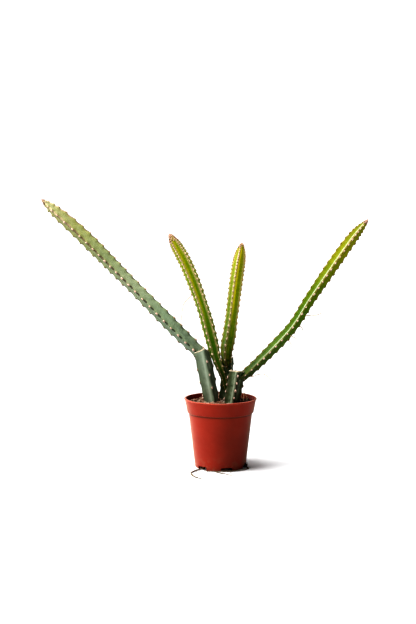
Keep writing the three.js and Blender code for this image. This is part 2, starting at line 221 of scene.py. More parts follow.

# The cuttings, from below the soil to the cut top, and the new stems, from inside their
# cutting out to the tip. Girth is the crest radius, spacing the step between the teeth of a
# rib and pads the size of the areoles, each as (share of the length, size). Groove is the
# girth in a groove as a share, wave how far the teeth stand out, taper the length over which a
# tip narrows, and tuft the number, reach and size of the woolly scales round it. Buried is the
# share below the soil, and cut tilt the cut's slope to the side and the front. The painted
# highlight is a lighter line painted beside one rib where light glints on it: the rib, the
# distance from its crest, the half width and the share of the length where it starts.
STEMS = {
    "cutting_left": {
        "path": [(-0.0058, -0.003, 0.034), (-0.0068, -0.003, 0.0505), (-0.0098, -0.0026, 0.067),
                 (-0.0141, -0.002, 0.0887)],
        "girth": [(0, 0.0054), (0.3, 0.006), (0.75, 0.0065), (1, 0.0065)],
        "ribs": 4, "roll": 22, "groove": 0.62, "spacing": [(0, 0.0101)], "wave": 0.00022,
        "buried": 0.315, "cut_tilt": (-0.12, -0.4), "pads": [(0, 1.2)],
        "painted_highlight": (0, -0.0026, 0.0013, 0.1)},
    "cutting_right": {
        "path": [(0.0074, -0.0085, 0.035), (0.0084, -0.009, 0.05), (0.0106, -0.01, 0.063),
                 (0.0123, -0.0105, 0.0751)],
        "girth": [(0, 0.0054), (0.35, 0.0059), (1, 0.0061)],
        "ribs": 4, "roll": 8, "groove": 0.62, "spacing": [(0, 0.0056)], "wave": 0.00025,
        "buried": 0.38, "cut_tilt": (-0.06, -0.15), "pads": [(0, 1.2)],
        "painted_highlight": (0, -0.0022, 0.001, 0.1)},
    "cutting_back": {
        "path": [(0.0024, 0.008, 0.034), (0.0032, 0.008, 0.05), (0.0047, 0.008, 0.061),
                 (0.0051, 0.008, 0.0815)],
        "girth": [(0, 0.0049), (0.3, 0.0054), (1, 0.0056)],
        "ribs": 4, "roll": 30, "groove": 0.62, "spacing": [(0, 0.008)], "wave": 0.00025,
        "buried": 0.33, "cut_tilt": (-0.35, -0.1)},
    "stem_long_left": {
        "path": [(-0.0132, 0.0006, 0.0848), (-0.0175, 0.0012, 0.089), (-0.0309, 0.0024, 0.102),
                 (-0.0696, 0.006, 0.141), (-0.1086, 0.01, 0.1797), (-0.1353, 0.0126, 0.2027)],
        "girth": [(0, 0.0047), (0.1, 0.0054), (0.2, 0.0057), (0.45, 0.00515), (0.68, 0.00585),
                  (0.85, 0.0056), (1, 0.0054)],
        "spacing": [(0, 0.0088), (0.12, 0.0076), (0.38, 0.0078), (0.55, 0.0059), (0.7, 0.0068),
                    (0.85, 0.0084)],
        "ribs": 4, "roll": -15, "groove": 0.68, "wave": 0.00032, "taper": 0.009,
        "tuft": (18, 0.004, 0.75), "pads": [(0, 1.25), (0.5, 1.2), (1, 1.1)]},
    "stem_leaning": {
        "path": [(0.0044, 0.006, 0.0585), (0.002, 0.0002, 0.0696), (-0.0027, -0.0045, 0.0825),
                 (-0.0067, -0.0064, 0.0983), (-0.0129, -0.0085, 0.1216), (-0.02575, -0.0115, 0.156),
                 (-0.0381, -0.013, 0.1782)],
        "girth": [(0, 0.0024), (0.09, 0.0026), (0.2, 0.0034), (0.3, 0.0047), (0.42, 0.005),
                  (0.55, 0.00465), (0.7, 0.0051), (1, 0.005)],
        "spacing": [(0.3, 0.0056), (0.6, 0.0044), (0.8, 0.0034)],
        "ribs": 5, "roll": 42, "groove": 0.74, "wave": 0.00015, "taper": 0.006,
        "tuft": (42, 0.0065, 1.0), "pads": [(0, 1.1), (0.85, 1.1), (1, 0.8)],
        "painted_highlight": (4, 0.0016, 0.0009, 0.4)},
    "stem_upright": {
        "path": [(0.006, 0.0075, 0.074), (0.0044, 0.0034, 0.082), (0.0048, 0.0032, 0.0905),
                 (0.0066, 0.004, 0.1005), (0.0125, 0.009, 0.1456), (0.0163, 0.0121, 0.1697)],
        "girth": [(0, 0.0026), (0.1, 0.0042), (0.2, 0.0052), (0.3, 0.00515), (0.43, 0.0048),
                  (0.7, 0.0052), (1, 0.0052)],
        "spacing": [(0.3, 0.005), (0.6, 0.004), (0.8, 0.0034)],
        "ribs": 4, "roll": -17, "groove": 0.66, "wave": 0.00015, "taper": 0.006,
        "tuft": (26, 0.0035, 0.95), "pads": [(0, 1.1), (0.85, 1.1), (1, 0.8)],
        "painted_highlight": (0, 0.0017, 0.001, 0.35)},
    "stem_long_right": {
        "path": [(0.013, -0.0094, 0.0692), (0.0176, -0.0088, 0.0716), (0.0352, -0.0105, 0.0883),
                 (0.0539, -0.012, 0.1092), (0.0672, -0.014, 0.1309), (0.0976, -0.02, 0.1766),
                 (0.1078, -0.0221, 0.189)],
        "girth": [(0, 0.0037), (0.15, 0.0041), (0.28, 0.0044), (0.38, 0.00405), (0.5, 0.00415),
                  (0.65, 0.0046), (1, 0.00475)],
        "spacing": [(0.3, 0.0064), (0.6, 0.0056)],
        "ribs": 4, "roll": 3, "groove": 0.66, "wave": 0.00026, "taper": 0.0085,
        "tuft": (20, 0.003, 0.9), "painted_highlight": (0, -0.0014, 0.0004, 0.06)},
}

# The plants: the node, its cutting and new stems, its slot, its wool and its seed
PLANTS = [
    ("plant_left", ["cutting_left", "stem_long_left"], "grey_green_skin", "areole_wool", 1),
    ("plant_right", ["cutting_right", "stem_long_right"], "green_skin", "areole_wool", 2),
    ("plant_back", ["cutting_back", "stem_leaning", "stem_upright"], "yellow_green_skin",
     "cream_wool", 3),
]

# The roots, from a drain hole out through its notch and along the surface
ROOT_LONG = {
    "path": [(-0.0103, -0.0099, 0.0031), (-0.0122, -0.0118, 0.0015), (-0.0146, -0.0144, 0.0009),
             (-0.0188, -0.0182, 0.00065), (-0.0219, -0.025, 0.0006), (-0.0214, -0.033, 0.00055),
             (-0.0178, -0.041, 0.0005), (-0.0129, -0.046, 0.00045)],
    "girth": [(0, 0.0005), (0.7, 0.00045), (1, 0.0002)],
}
ROOT_FRONT = {
    "path": [(0.0137, -0.004, 0.0031), (0.0162, -0.0048, 0.0013), (0.0195, -0.0064, 0.0007),
             (0.0212, -0.0104, 0.0005), (0.0156, -0.0166, 0.0005), (0.007, -0.0204, 0.0005),
             (-0.0026, -0.0212, 0.0005), (-0.009, -0.0196, 0.0005), (-0.0124, -0.0174, 0.0005)],
    "girth": [(0, 0.00045), (0.8, 0.00035), (1, 0.0002)],
}
ROOT_BRANCH = {
    "path": [(-0.0046, -0.0211, 0.0005), (-0.0022, -0.0244, 0.00045), (0.0024, -0.0278, 0.0004),
             (0.0076, -0.034, 0.00035), (0.0106, -0.0384, 0.0003)],
    "girth": [(0, 0.0003), (1, 0.00015)],
}
ROOT_STEP = 0.0004
ROOT_KNOTS = 0.22
FINE_STEP = 0.0006
FINE_KNOTS = 0.3

# Fine side roots, the thin aerial roots of two stems, and loops of root on the soil
ROOTLET_GIRTH = [(0, 0.0002), (1, 0.00008)]
ROOTLETS_LONG = [
    [(-0.0146, -0.0144, 0.0009), (-0.0162, -0.0136, 0.0006), (-0.0184, -0.0142, 0.0003)],
    [(-0.0219, -0.025, 0.0006), (-0.0236, -0.0262, 0.0004), (-0.0246, -0.0288, 0.0003)],
    [(-0.0214, -0.033, 0.0005), (-0.0196, -0.0346, 0.0003), (-0.0192, -0.0372, 0.0002)],
    [(-0.0188, -0.0182, 0.0006), (-0.0178, -0.0204, 0.0004), (-0.0182, -0.0226, 0.0003)],
]
ROOTLETS_FRONT = [
    [(0.0195, -0.0064, 0.0007), (0.0214, -0.0052, 0.0005), (0.0228, -0.0058, 0.0003)],
    [(0.007, -0.0204, 0.0005), (0.0078, -0.0226, 0.0004), (0.0068, -0.0246, 0.0003)],
    [(0.0024, -0.0278, 0.0004), (0.0004, -0.0292, 0.0003), (-0.0006, -0.0312, 0.0002)],
    [(-0.009, -0.0196, 0.0005), (-0.0104, -0.0212, 0.0004), (-0.0102, -0.0228, 0.0003)],
]
HAIR_GIRTH = [(0, 0.00028), (0.6, 0.00024), (1, 0.00014)]
HAIRS_LEANING = [
    [(-0.0188, -0.0096, 0.1334), (-0.02035, -0.009, 0.1327), (-0.02448, -0.008, 0.12921),
     (-0.02781, -0.0065, 0.12491), (-0.02965, -0.002, 0.11296), (-0.03038, 0.0005, 0.10786)],
]
HAIRS_RIGHT = [
    [(0.0622, -0.013, 0.1174), (0.06604, -0.0135, 0.11733), (0.07029, -0.0145, 0.11745),
     (0.07782, -0.016, 0.12107)],
    [(0.0505, -0.0116, 0.1034), (0.05336, -0.0125, 0.10162), (0.05668, -0.0134, 0.10001),
     (0.06016, -0.014, 0.09926)],
    [(0.0572, -0.0122, 0.112), (0.05929, -0.0125, 0.10939), (0.06091, -0.013, 0.10764),
     (0.06144, -0.0132, 0.10518)],
    [(0.0479, -0.0113, 0.1005), (0.04996, -0.012, 0.09899), (0.05225, -0.0128, 0.09661),
     (0.05338, -0.013, 0.09308)],
    [(0.0214, -0.0098, 0.0704), (0.02434, -0.0106, 0.07097), (0.02804, -0.012, 0.07256),
     (0.03176, -0.013, 0.07317), (0.03548, -0.014, 0.07121), (0.03884, -0.0146, 0.06736)],
]
LOOP_GIRTH = [(0, 0.00028), (1, 0.0002)]
SOIL_LOOPS = [
    [(0.0150, 0.0045, 0.0484), (0.0149, 0.005, 0.0525), (0.0154, 0.0055, 0.0549),
     (0.0164, 0.0055, 0.0520), (0.0168, 0.0052, 0.0484)],
    [(0.0176, 0.0042, 0.0482), (0.0177, 0.0048, 0.053), (0.0184, 0.005, 0.0556),
     (0.0202, 0.005, 0.0522), (0.0198, 0.0048, 0.0482)],
    [(0.0176, 0.0042, 0.0482), (0.0179, 0.005, 0.056), (0.0180, 0.0052, 0.0592)],
]

# The knots of thin roots at two notches: the middle, the reach each way, the count and the seed
TANGLES = [
    ((0.0189, -0.0056, 0.0022), (0.0017, 0.0022, 0.0018), 9, 31),
    ((-0.0131, -0.0129, 0.0008), (0.0012, 0.0012, 0.0006), 6, 41),
]
TANGLE_GIRTH = [(0, 0.00024), (1, 0.00012)]
TANGLE_POINTS = 6
TANGLE_TURNS = (0.8, 1.9)
TANGLE_SPREAD = (0.4, 1)
LOWEST_THREAD_Z = 0.0003

# The finish of each stem. The skin's and the dashes' colours run along it, as (share of the
# length, colour). Each mark has a colour and an amount, and a mark that isn't named is absent.
# Groove Sheen is painted sheen along each groove, and Painted Highlight a painted highlight line
# beside one rib.
SKINS = {
    # The cuttings' skins darken towards the soil, partly as painted shade below the pot's rim.
    "cutting_left": {
        "skin": [(0, (0.07, 0.09, 0.058)), (0.45, (0.125, 0.155, 0.1)), (1, (0.175, 0.215, 0.15))],
        "dash": [(0, (0.04, 0.05, 0.03))], "dashes": 0.5, "edges": 0.2, "gloss": 0.3,
        "Groove Sheen": ((0.35, 0.41, 0.31), 0.3), "Crest": ((0.1, 0.13, 0.07), 0.6),
        "Painted Highlight": ((0.42, 0.47, 0.37), 0.38)},
    "cutting_right": {
        "skin": [(0, (0.016, 0.03, 0.01)), (0.5, (0.024, 0.04, 0.013)), (1, (0.03, 0.05, 0.016))],
        "dash": [(0, (0.04, 0.04, 0.02))], "dashes": 0.4, "edges": 0.3, "gloss": 0.22,
        "Groove Sheen": ((0.27, 0.32, 0.2), 0.35), "Crest": ((0.02, 0.025, 0.008), 0.7),
        "Flush": ((0.2, 0.12, 0.05), 0.2), "Painted Highlight": ((0.36, 0.4, 0.29), 0.5)},
    "cutting_back": {
        "skin": [(0, (0.03, 0.045, 0.02)), (1, (0.05, 0.075, 0.03))],
        "dash": [(0, (0.03, 0.03, 0.015))], "dashes": 0.4, "edges": 0.3, "gloss": 0.4,
        "Groove Sheen": ((0.2, 0.24, 0.14), 0.4), "Crest": ((0.02, 0.04, 0.012), 0.7)},
    "stem_long_left": {
        "skin": [(0, (0.17, 0.22, 0.16)), (0.25, (0.18, 0.24, 0.15)), (0.45, (0.26, 0.3, 0.18)),
                 (0.6, (0.22, 0.26, 0.12)), (0.8, (0.26, 0.27, 0.09)), (1, (0.3, 0.28, 0.12))],
        "dash": [(0, (0.03, 0.045, 0.022)), (0.3, (0.035, 0.04, 0.022)), (0.5, (0.08, 0.06, 0.035)),
                 (0.75, (0.13, 0.085, 0.04)), (0.86, (0.28, 0.18, 0.12)), (0.94, (0.46, 0.38, 0.2))],
        "dashes": 0.92, "edges": 0.3, "gloss": 0.45,
        "Groove Sheen": ((0.26, 0.31, 0.22), 0.2), "Crest": ((0.26, 0.27, 0.08), 0.15),
        "Flush": ((0.3, 0.14, 0.05), 0.1)},
    "stem_leaning": {
        "skin": [(0, (0.025, 0.045, 0.006)), (0.3, (0.042, 0.105, 0.002)), (0.6, (0.11, 0.19, 0.001)),
                 (0.85, (0.22, 0.28, 0.001)), (1, (0.28, 0.26, 0.02))],
        "dash": [(0, (0.06, 0.03, 0.01)), (1, (0.25, 0.1, 0.03))],
        "dashes": 0.1, "edges": 0.15, "gloss": 0.05, "low_crest": 0.25,
        "Groove Sheen": ((0.07, 0.15, 0.001), 0.4), "Crest": ((0.56, 0.5, 0.26), 0.9),
        "Flush": ((0.36, 0.14, 0.025), 0.42), "Painted Highlight": ((0.4, 0.36, 0.002), 0.7)},
    "stem_upright": {
        "skin": [(0, (0.02, 0.035, 0.004)), (0.3, (0.062, 0.125, 0.002)), (0.6, (0.135, 0.2, 0.001)),
                 (0.85, (0.21, 0.24, 0.001)), (1, (0.22, 0.19, 0.02))],
        "dash": [(0, (0.06, 0.03, 0.01)), (1, (0.25, 0.1, 0.03))],
        "dashes": 0.1, "edges": 0.15, "gloss": 0.05, "low_crest": 0.25,
        "Groove Sheen": ((0.19, 0.21, 0.001), 0.6), "Crest": ((0.48, 0.4, 0.18), 0.85),
        "Flush": ((0.38, 0.15, 0.025), 0.4), "Painted Highlight": ((0.62, 0.55, 0.002), 0.85)},
    "stem_long_right": {
        "skin": [(0, (0.03, 0.045, 0.018)), (0.1, (0.04, 0.075, 0.02)), (0.25, (0.065, 0.13, 0.02)),
                 (0.45, (0.055, 0.12, 0.002)), (0.6, (0.1, 0.155, 0.001)), (0.8, (0.21, 0.22, 0.001)),
                 (1, (0.19, 0.2, 0.012))],
        "dash": [(0, (0.05, 0.04, 0.02)), (0.6, (0.16, 0.08, 0.03)), (1, (0.3, 0.16, 0.08))],
        "dashes": 0.35, "edges": 0.3, "gloss": 0.04,
        "Groove Sheen": ((0.14, 0.2, 0.003), 0.3), "Crest": ((0.18, 0.2, 0.03), 0.3),
        "Flush": ((0.3, 0.13, 0.04), 0.25), "Painted Highlight": ((0.5, 0.53, 0.4), 0.9)},
}
LOW_CREST_SPAN = (0.2, 0.6)
SCAR_BROWN = (0.06, 0.03, 0.014)
CORK = ((0.42, 0.33, 0.22), (0.58, 0.5, 0.36))
CALLUS = ((0.2, 0.16, 0.075), (0.34, 0.27, 0.14))

# The other finishes, mostly as a dark and a light colour. Wool is its pale top, then its foot.
WOOLS = {
    "areole_wool": ((0.76, 0.57, 0.47), (0.12, 0.055, 0.025), (0.3, 0.15, 0.07)),
    "cream_wool": ((0.76, 0.63, 0.42), (0.3, 0.17, 0.05), (0.5, 0.36, 0.13)),
}
WOOL_SHADE = (0.6, 0.38, 0.28)
BRISTLE_HORN = ((0.3, 0.17, 0.08), (0.55, 0.38, 0.22))
TIP_SCALE = ((0.3, 0.14, 0.08), (0.72, 0.5, 0.4))
POT_RED = ((0.37, 0.008, 0.002), (0.43, 0.013, 0.003))
# The inner wall's darker colour: soil stain and painted shade
POT_INSIDE_STAIN_AND_SHADE = (0.13, 0.014, 0.007)
# The colour of the painted shadow line under the band
POT_BAND_SHADOW = (0.08, 0.004, 0.002)
POT_SPECULAR_TINT = (1, 0.76, 0.5)
POT_SHEEN_TINT = (1, 0.82, 0.6)
# The colour of the painted highlight on the lip
LIP_HIGHLIGHT = (0.82, 0.27, 0.18)
DUST = (0.36, 0.2, 0.12)
PEAT = ((0.09, 0.045, 0.026), (0.3, 0.14, 0.085))
# Painted shade on the peat towards the right: its colour, where it begins and where it is strongest
PEAT_PAINTED_SHADE = (0.03, 0.013, 0.008)
PEAT_PAINTED_SHADE_FROM, PEAT_PAINTED_SHADE_TO = AXIS.x + 0.002, AXIS.x + 0.012
PEAT_TONES = [(0, (0.04, 0.018, 0.01)), (0.3, (0.17, 0.075, 0.042)), (0.65, (0.46, 0.25, 0.16)),
              (1, (0.85, 0.66, 0.5))]
ROOT_TAN = ((0.09, 0.062, 0.035), (0.27, 0.21, 0.12))
ROOT_DARK = ((0.03, 0.018, 0.01), (0.12, 0.075, 0.035))
HAIR_STRAW = ((0.5, 0.32, 0.15), (0.72, 0.5, 0.28))
WHITE = (1, 1, 1)

# The mottle of each finish, as the scales of its patches and its speckle and the speckle's
# amount, and the depth of its relief
SKIN_MOTTLE, SKIN_RELIEF = (210.0, 2600.0, 0.3), 0.00003
POT_MOTTLE, POT_RELIEF = (60.0, 900.0, 0.25), 0.00003
PEAT_MOTTLE, PEAT_RELIEF = (420.0, 2200.0, 0.6), 0.0003
ROOT_MOTTLE, ROOT_RELIEF = (380.0, 2400.0, 0.5), 0.0001
WOOL_RELIEF = 0.0002


# Working in the way of hand modelling

def clear_selection():
    if bpy.context.object and bpy.context.object.mode != "OBJECT":
        bpy.ops.object.mode_set(mode="OBJECT")
    bpy.ops.object.select_all(action="DESELECT")


def primitive(kind, **settings):
    """One of Blender's own meshes, at the origin."""
    clear_selection()
    getattr(bpy.ops.mesh, f"primitive_{kind}_add")(**settings)
    return bpy.context.object


def work_on(piece):
    clear_selection()
    piece.select_set(True)
    bpy.context.view_layer.objects.active = piece


def close_up(piece):
    """Merges doubled corners and turns every face outwards."""
    work_on(piece)
    bpy.ops.object.mode_set(mode="EDIT")
    bpy.ops.mesh.select_all(action="SELECT")
    bpy.ops.mesh.remove_doubles(threshold=1e-6)
    bpy.ops.mesh.normals_make_consistent(inside=False)
    bpy.ops.object.mode_set(mode="OBJECT")


def apply_modifier(piece, kind, **settings):
    work_on(piece)
    modifier = piece.modifiers.new(kind.lower(), kind)
    for setting, value in settings.items():
        setattr(modifier, setting, value)
    bpy.ops.object.modifier_apply(modifier=modifier.name)


def combine(piece, other, operation):
    """Joins or cuts a piece with another closed one, which is used up."""
    apply_modifier(piece, "BOOLEAN", object=other, operation=operation, solver="MANIFOLD")
    bpy.data.objects.remove(other)


def join(pieces):
    work_on(pieces[0])
    for piece in pieces:
        piece.select_set(True)
    bpy.ops.object.join()
    return pieces[0]


def roughen(piece, size, depth):
    """Moves the surface in and out in soft lumps of about that size."""
    texture = bpy.data.textures.new("lumps", "CLOUDS")
    texture.noise_scale = size
    apply_modifier(piece, "DISPLACE", texture=texture, texture_coords="LOCAL", strength=depth,
                   mid_level=0.5)


def mark(piece, key, value):
    """Notes a value on every corner: one for all of them, or a list with one for each."""
    mesh = piece.data
    values = np.full(len(mesh.vertices), value, np.float32)
    mesh.attributes.new(key, "FLOAT", "POINT").data.foreach_set("value", values)


def set_down(kind, placing):
    """A copy of a kind of piece, with its mesh moved by the matrix."""
    copy = kind.copy()
    copy.data = kind.data.copy()
    bpy.context.collection.objects.link(copy)
    copy.data.transform(placing)
    return copy


def finish_by(piece, key):
    """Gives each face the material whose number its first corner holds."""
    numbers = np.zeros(len(piece.data.vertices), np.float32)
    piece.data.attributes[key].data.foreach_get("value", numbers)
    for polygon in piece.data.polygons:
        polygon.material_index = int(round(numbers[polygon.vertices[0]]))


def dress(piece, name, slot, materials, nodes=()):
    piece.name = name
    piece.data.materials.clear()
    for material in materials:
        piece.data.materials.append(material)
    if nodes:
        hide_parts(*nodes)
    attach(piece, "root")
    return piece


# Curves and the skins that are wrapped round them

def polar(radius, turn):
    return radius * math.cos(turn), radius * math.sin(turn)


def read_along(stations, shares):
    places, values = zip(*stations)
    return np.interp(shares, places, values)


def bell(values, width, power=2):
    """1 at zero, falling softly to nothing past the width."""
    return np.exp(-(values / width) ** power)


def smooth_path(path, steps=60):
    """Points along a centripetal Catmull-Rom curve through the path."""
    points = [Vector(point) for point in path]
    points = [2 * points[0] - points[1], *points, 2 * points[-1] - points[-2]]
    samples = []
    for before, start, end, after in zip(points, points[1:], points[2:], points[3:]):
        lead, gap, tail = (math.sqrt((b - a).length) for a, b in
                           ((before, start), (start, end), (end, after)))
        leave = ((start - before) / lead - (end - before) / (lead + gap) + (end - start) / gap) * gap
        arrive = ((end - start) / gap - (after - start) / (gap + tail) + (after - end) / tail) * gap
        for step in range(steps):
            t = step / steps
            samples.append(
                start * (2 * t ** 3 - 3 * t ** 2 + 1) + leave * (t ** 3 - 2 * t ** 2 + t)
                + end * (3 * t ** 2 - 2 * t ** 3) + arrive * (t ** 3 - t ** 2))
    samples.append(points[-2])
    return np.array(samples)


def normalised(rows):
    return rows / np.linalg.norm(rows, axis=1, keepdims=True)


class MiddleLine:
    """The middle line of a stem or root, read by the distance from its start."""

    def __init__(self, path):
        self.points = smooth_path(path)
        gaps = np.linalg.norm(np.diff(self.points, axis=0), axis=1)
        self.distances = np.concatenate([[0], np.cumsum(gaps)])
        self.length = self.distances[-1]
        self.slopes = np.gradient(self.points, self.distances, axis=0)

    def read(self, table, distances):
        return np.stack([np.interp(distances, self.distances, column) for column in table.T], axis=1)

    def frames(self, distances):
        """The middle, forward, front and side directions, a row for each distance."""
        along = normalised(self.read(self.slopes, distances))
        front = normalised(np.array([[0.0, -1.0, 0.0]]) + along * along[:, 1:2])
        return self.read(self.points, distances), along, front, np.cross(along, front)

    def frame(self, distance):
        """The same at one distance, as vectors."""
        return [Vector(rows[0]) for rows in self.frames(np.array([distance]))]


def wrap(places, marks=None):
    """Wraps a grid round rings of places, a row for each ring, and closes its seam and ends."""
    rings, columns = places.shape[:2]
    skin = primitive("grid", x_subdivisions=columns, y_subdivisions=rings - 1, size=1)
    closed = np.concatenate([places, places[:, :1]], axis=1)
    skin.data.vertices.foreach_set("co", (closed + np.array(AXIS)).ravel())
    for key, values in (marks or {}).items():
        mark(skin, key, np.concatenate([values, values[:, :1]], axis=1).ravel())
    close_up(skin)
    bpy.ops.object.shade_smooth()
    return skin


def thread(path, girth, knots=0.0, seed=0, sides=5, step=FINE_STEP):
    """A thin root or hair, closed at both ends, with knots and kinks along it."""
    line = MiddleLine(path)
    count = max(int(line.length / step), 4)
    shares = np.linspace(0, 1, count + 1)
    middle, _, front, side = line.frames(shares * line.length)
    draw = np.random.default_rng(seed)
    radius = read_along(girth, shares) * (1 + knots * draw.uniform(-1, 1, count + 1))
    shift = knots * radius[:, None] * draw.uniform(-0.8, 0.8, (count + 1, 2))
    middle = middle + front * shift[:, :1] + side * shift[:, 1:]
    turns = np.linspace(0, 2 * math.pi, sides, endpoint=False)[None, :, None]
    arms = front[:, None] * np.cos(turns) + side[:, None] * np.sin(turns)
    start, end = (np.repeat(row[:, None], sides, 1) for row in (middle[:1], middle[-1:]))
    return wrap(np.concatenate([start, middle[:, None] + arms * radius[:, None, None], end]))


def threads(paths, girth, knots, seed):
    return join([thread(path, girth, knots, seed + number) for number, path in enumerate(paths)])


# The ribbed stems

def spacing_at(stem, share):
    return read_along(stem["spacing"], share)


def tooth_distances(stem, length):
    """Where the crests rise to teeth: neighbouring ribs take turns."""
    distance = length * stem.get("buried", 0)
    distances = []
    while distance < length - LAST_TOOTH_SHARE * spacing_at(stem, 1):
        distances.append(distance)
        crowding = min(max((length - distance) / TIP_AREOLE_REACH, TIP_AREOLE_CROWDING), 1)
        distance += 0.5 * spacing_at(stem, distance / length) * (crowding if "taper" in stem else 1)
    return distances


def girth_at(stem, length, distances):
    girth = read_along(stem["girth"], distances / length)
    if "taper" in stem:
        girth = girth * (1 - np.exp(-(length - distances + TIP_ROUNDING) / stem["taper"]))
    return girth


def size_at(girth):
    return np.clip(girth / FULL_SIZE_GIRTH, SMALLEST_SIZE, 1)


def tooth_phase(stem, rib, length, distances):
    """Whole numbers at the teeth of a rib, growing evenly towards the tip, and the teeth."""
    teeth = np.array(tooth_distances(stem, length)[rib % 2::2])
    spare = np.arange(1, 9)
    teeth = np.concatenate([teeth[0] - spare[::-1] * spacing_at(stem, 0), teeth,
                            teeth[-1] + spare * spacing_at(stem, 1)])
    return np.interp(distances, teeth, np.arange(len(teeth))), teeth


def tooth_wave(phase):
    """From 1 at a tooth, slowly down towards the tip, then quickly up to the next."""
    share = phase % 1
    return np.where(share < TOOTH_FALL, np.cos(math.pi * share / TOOTH_FALL),
                    -np.cos(math.pi * (share - TOOTH_FALL) / (1 - TOOTH_FALL)))


def dash_mask(phase, share, across):
    """The dark lens below each areole, longer towards the tip: 1 in its middle, 0 at its edge."""
    below = (phase % 1 - read_along(DASH_MIDDLE, share)) / read_along(DASH_HALF_LENGTH, share)
    return 1 - below[:, None] ** 2 - (across / DASH_HALF_WIDTH) ** 2


def painted_highlight_mask(stem, rib_of, signed, shares):
    """The painted highlight beside one rib, a lighter line where light glints. Signed is the distance
    across from a crest.
    """
    if "painted_highlight" not in stem:
        return np.zeros_like(signed)
    rib, middle, half_width, start = stem["painted_highlight"]
    fade_in = np.clip((shares - start) / PAINTED_HIGHLIGHT_FADE, 0, 1)[:, None]
    return bell(signed - middle, half_width) * (rib_of == rib) * fade_in


def ring_rows(stem, length):
    """The rings of a stem: distance, share of its girth, and how far the ring is sunk."""
    count = int(length / RING_STEP)
    rows = [(0, 0, 0)] + [(length * i / count, 1, 0) for i in range(count + 1)]
    if "cut_tilt" in stem:
        return np.array(rows + [(length, scale, sink * CUT_SINK) for scale, sink in CUT_FACE])
    rows = np.array(rows)
    into_cap = np.clip((rows[:, 0] - (length - TIP_CAP)) / TIP_CAP, 0, 1)
    rows[:, 1] *= np.sqrt(1 - into_cap ** 2)
    return rows


def cut_share(rows, length):
    """0 on the skin, a half on the corky rim of the cut, 1 on the cut face."""
    near_end = np.clip(1 - (length - rows[:, 0]) / CUT_RIM, 0, 1)
    inside = np.clip((1 - rows[:, 1]) / CUT_RIM_SHARE, 0, 1)
    return np.where(rows[:, 0] < length * 0.5, 0, 0.5 * near_end + 0.5 * inside)


def rib_section(stem, offset):
    """The radius as a share of the girth, by the share of the way from a crest to the groove."""
    valley = stem["groove"] * math.cos(math.pi / stem["ribs"] / 3)
    rounded = np.sqrt(offset ** 2 + CREST_ROUND ** 2) - CREST_ROUND
    rounded = rounded / (math.hypot(1, CREST_ROUND) - CREST_ROUND)
    return valley + (1 - valley) * (1 - rounded) ** RIB_SHARPNESS


def stem_skin(stem):
    """A closed ribbed skin that follows the stem's plan, with what its finish needs to know."""
    line = MiddleLine(stem["path"])
    rows = ring_rows(stem, line.length)
    distances, scale, sink = rows.T
    shares = distances / line.length
    middle, along, front, side = line.frames(distances)
    ribs = stem["ribs"]
    within = np.linspace(-1, 1, COLUMNS_PER_RIB, endpoint=False)
    within = np.tile(np.sign(within) * np.abs(within) ** COLUMN_CROWDING, ribs)
    offset = np.abs(within)
    rib_of = np.repeat(np.arange(ribs), COLUMNS_PER_RIB)
    angle = math.radians(stem["roll"]) + (rib_of + within / 2) * 2 * math.pi / ribs

    girth = girth_at(stem, line.length, distances)[:, None]
    across = offset * (math.pi / ribs) * girth
    wave, dash, scar = np.zeros((3, *across.shape))
    for rib in range(ribs):
        own = rib_of == rib
        phase, teeth = tooth_phase(stem, rib, line.length, distances)
        wave[:, own] = tooth_wave(phase)[:, None]
        dash[:, own] = dash_mask(phase, shares, across[:, own])
        gap = distances - teeth[np.argmin(np.abs(distances[:, None] - teeth), axis=1)]
        scar[:, own] = bell(gap + SCAR_DROP, SCAR_HALF_LENGTH)[:, None]
    if "cut_tilt" in stem:
        wave *= np.clip((line.length - distances) / CUT_FADE, 0, 1)[:, None]
    wave *= bell(offset, TOOTH_REACH) * size_at(girth) * stem["wave"]
    radius = (girth * rib_section(stem, offset) + wave) * scale[:, None]

    arms = front[:, None] * np.cos(angle)[:, None] + side[:, None] * np.sin(angle)[:, None]
    arms = arms * radius[:, :, None]
    places = middle[:, None] + arms - along[:, None] * sink[:, None, None]
    cut = np.zeros(len(rows))
    if "cut_tilt" in stem:
        cut = cut_share(rows, line.length)
        lean = np.clip(1 - (line.length - distances) / CUT_REACH, 0, 1)[:, None] ** 1.5
        to_side, to_front = (np.einsum("rci,ri->rc", arms, way) for way in (side, front))
        drop = stem["cut_tilt"][0] * to_side + stem["cut_tilt"][1] * to_front
        places -= along[:, None] * (drop * lean)[:, :, None]

    every = np.ones_like(radius)
    return wrap(places, {
        "along": every * shares[:, None],
        "crest": every * bell(offset, CREST_REACH, 4),
        "edge": every * bell(offset, EDGE_REACH),
        "groove": every * bell(1 - offset, GROOVE_REACH),
        "painted_highlight": painted_highlight_mask(stem, rib_of, np.sign(within) * across, shares),
        "dash": dash,
        "scar": scar * bell(offset, SCAR_REACH),
        "cut": every * cut[:, None],
    })


def plant_skin(stems):
    """A cutting and its new stems as one closed skin. Each part keeps its own finish."""
    skins = [stem_skin(stem) for stem in stems]
    for number, skin in enumerate(skins):
        mark(skin, "part", number)
    whole = skins[0]
    for other in skins[1:]:
        combine(whole, other, "UNION")
    for size, depth in SKIN_LUMPS:
        roughen(whole, size, depth)
    close_up(whole)
    bpy.ops.object.shade_smooth()
    return whole


# Areoles and the scales of the tips

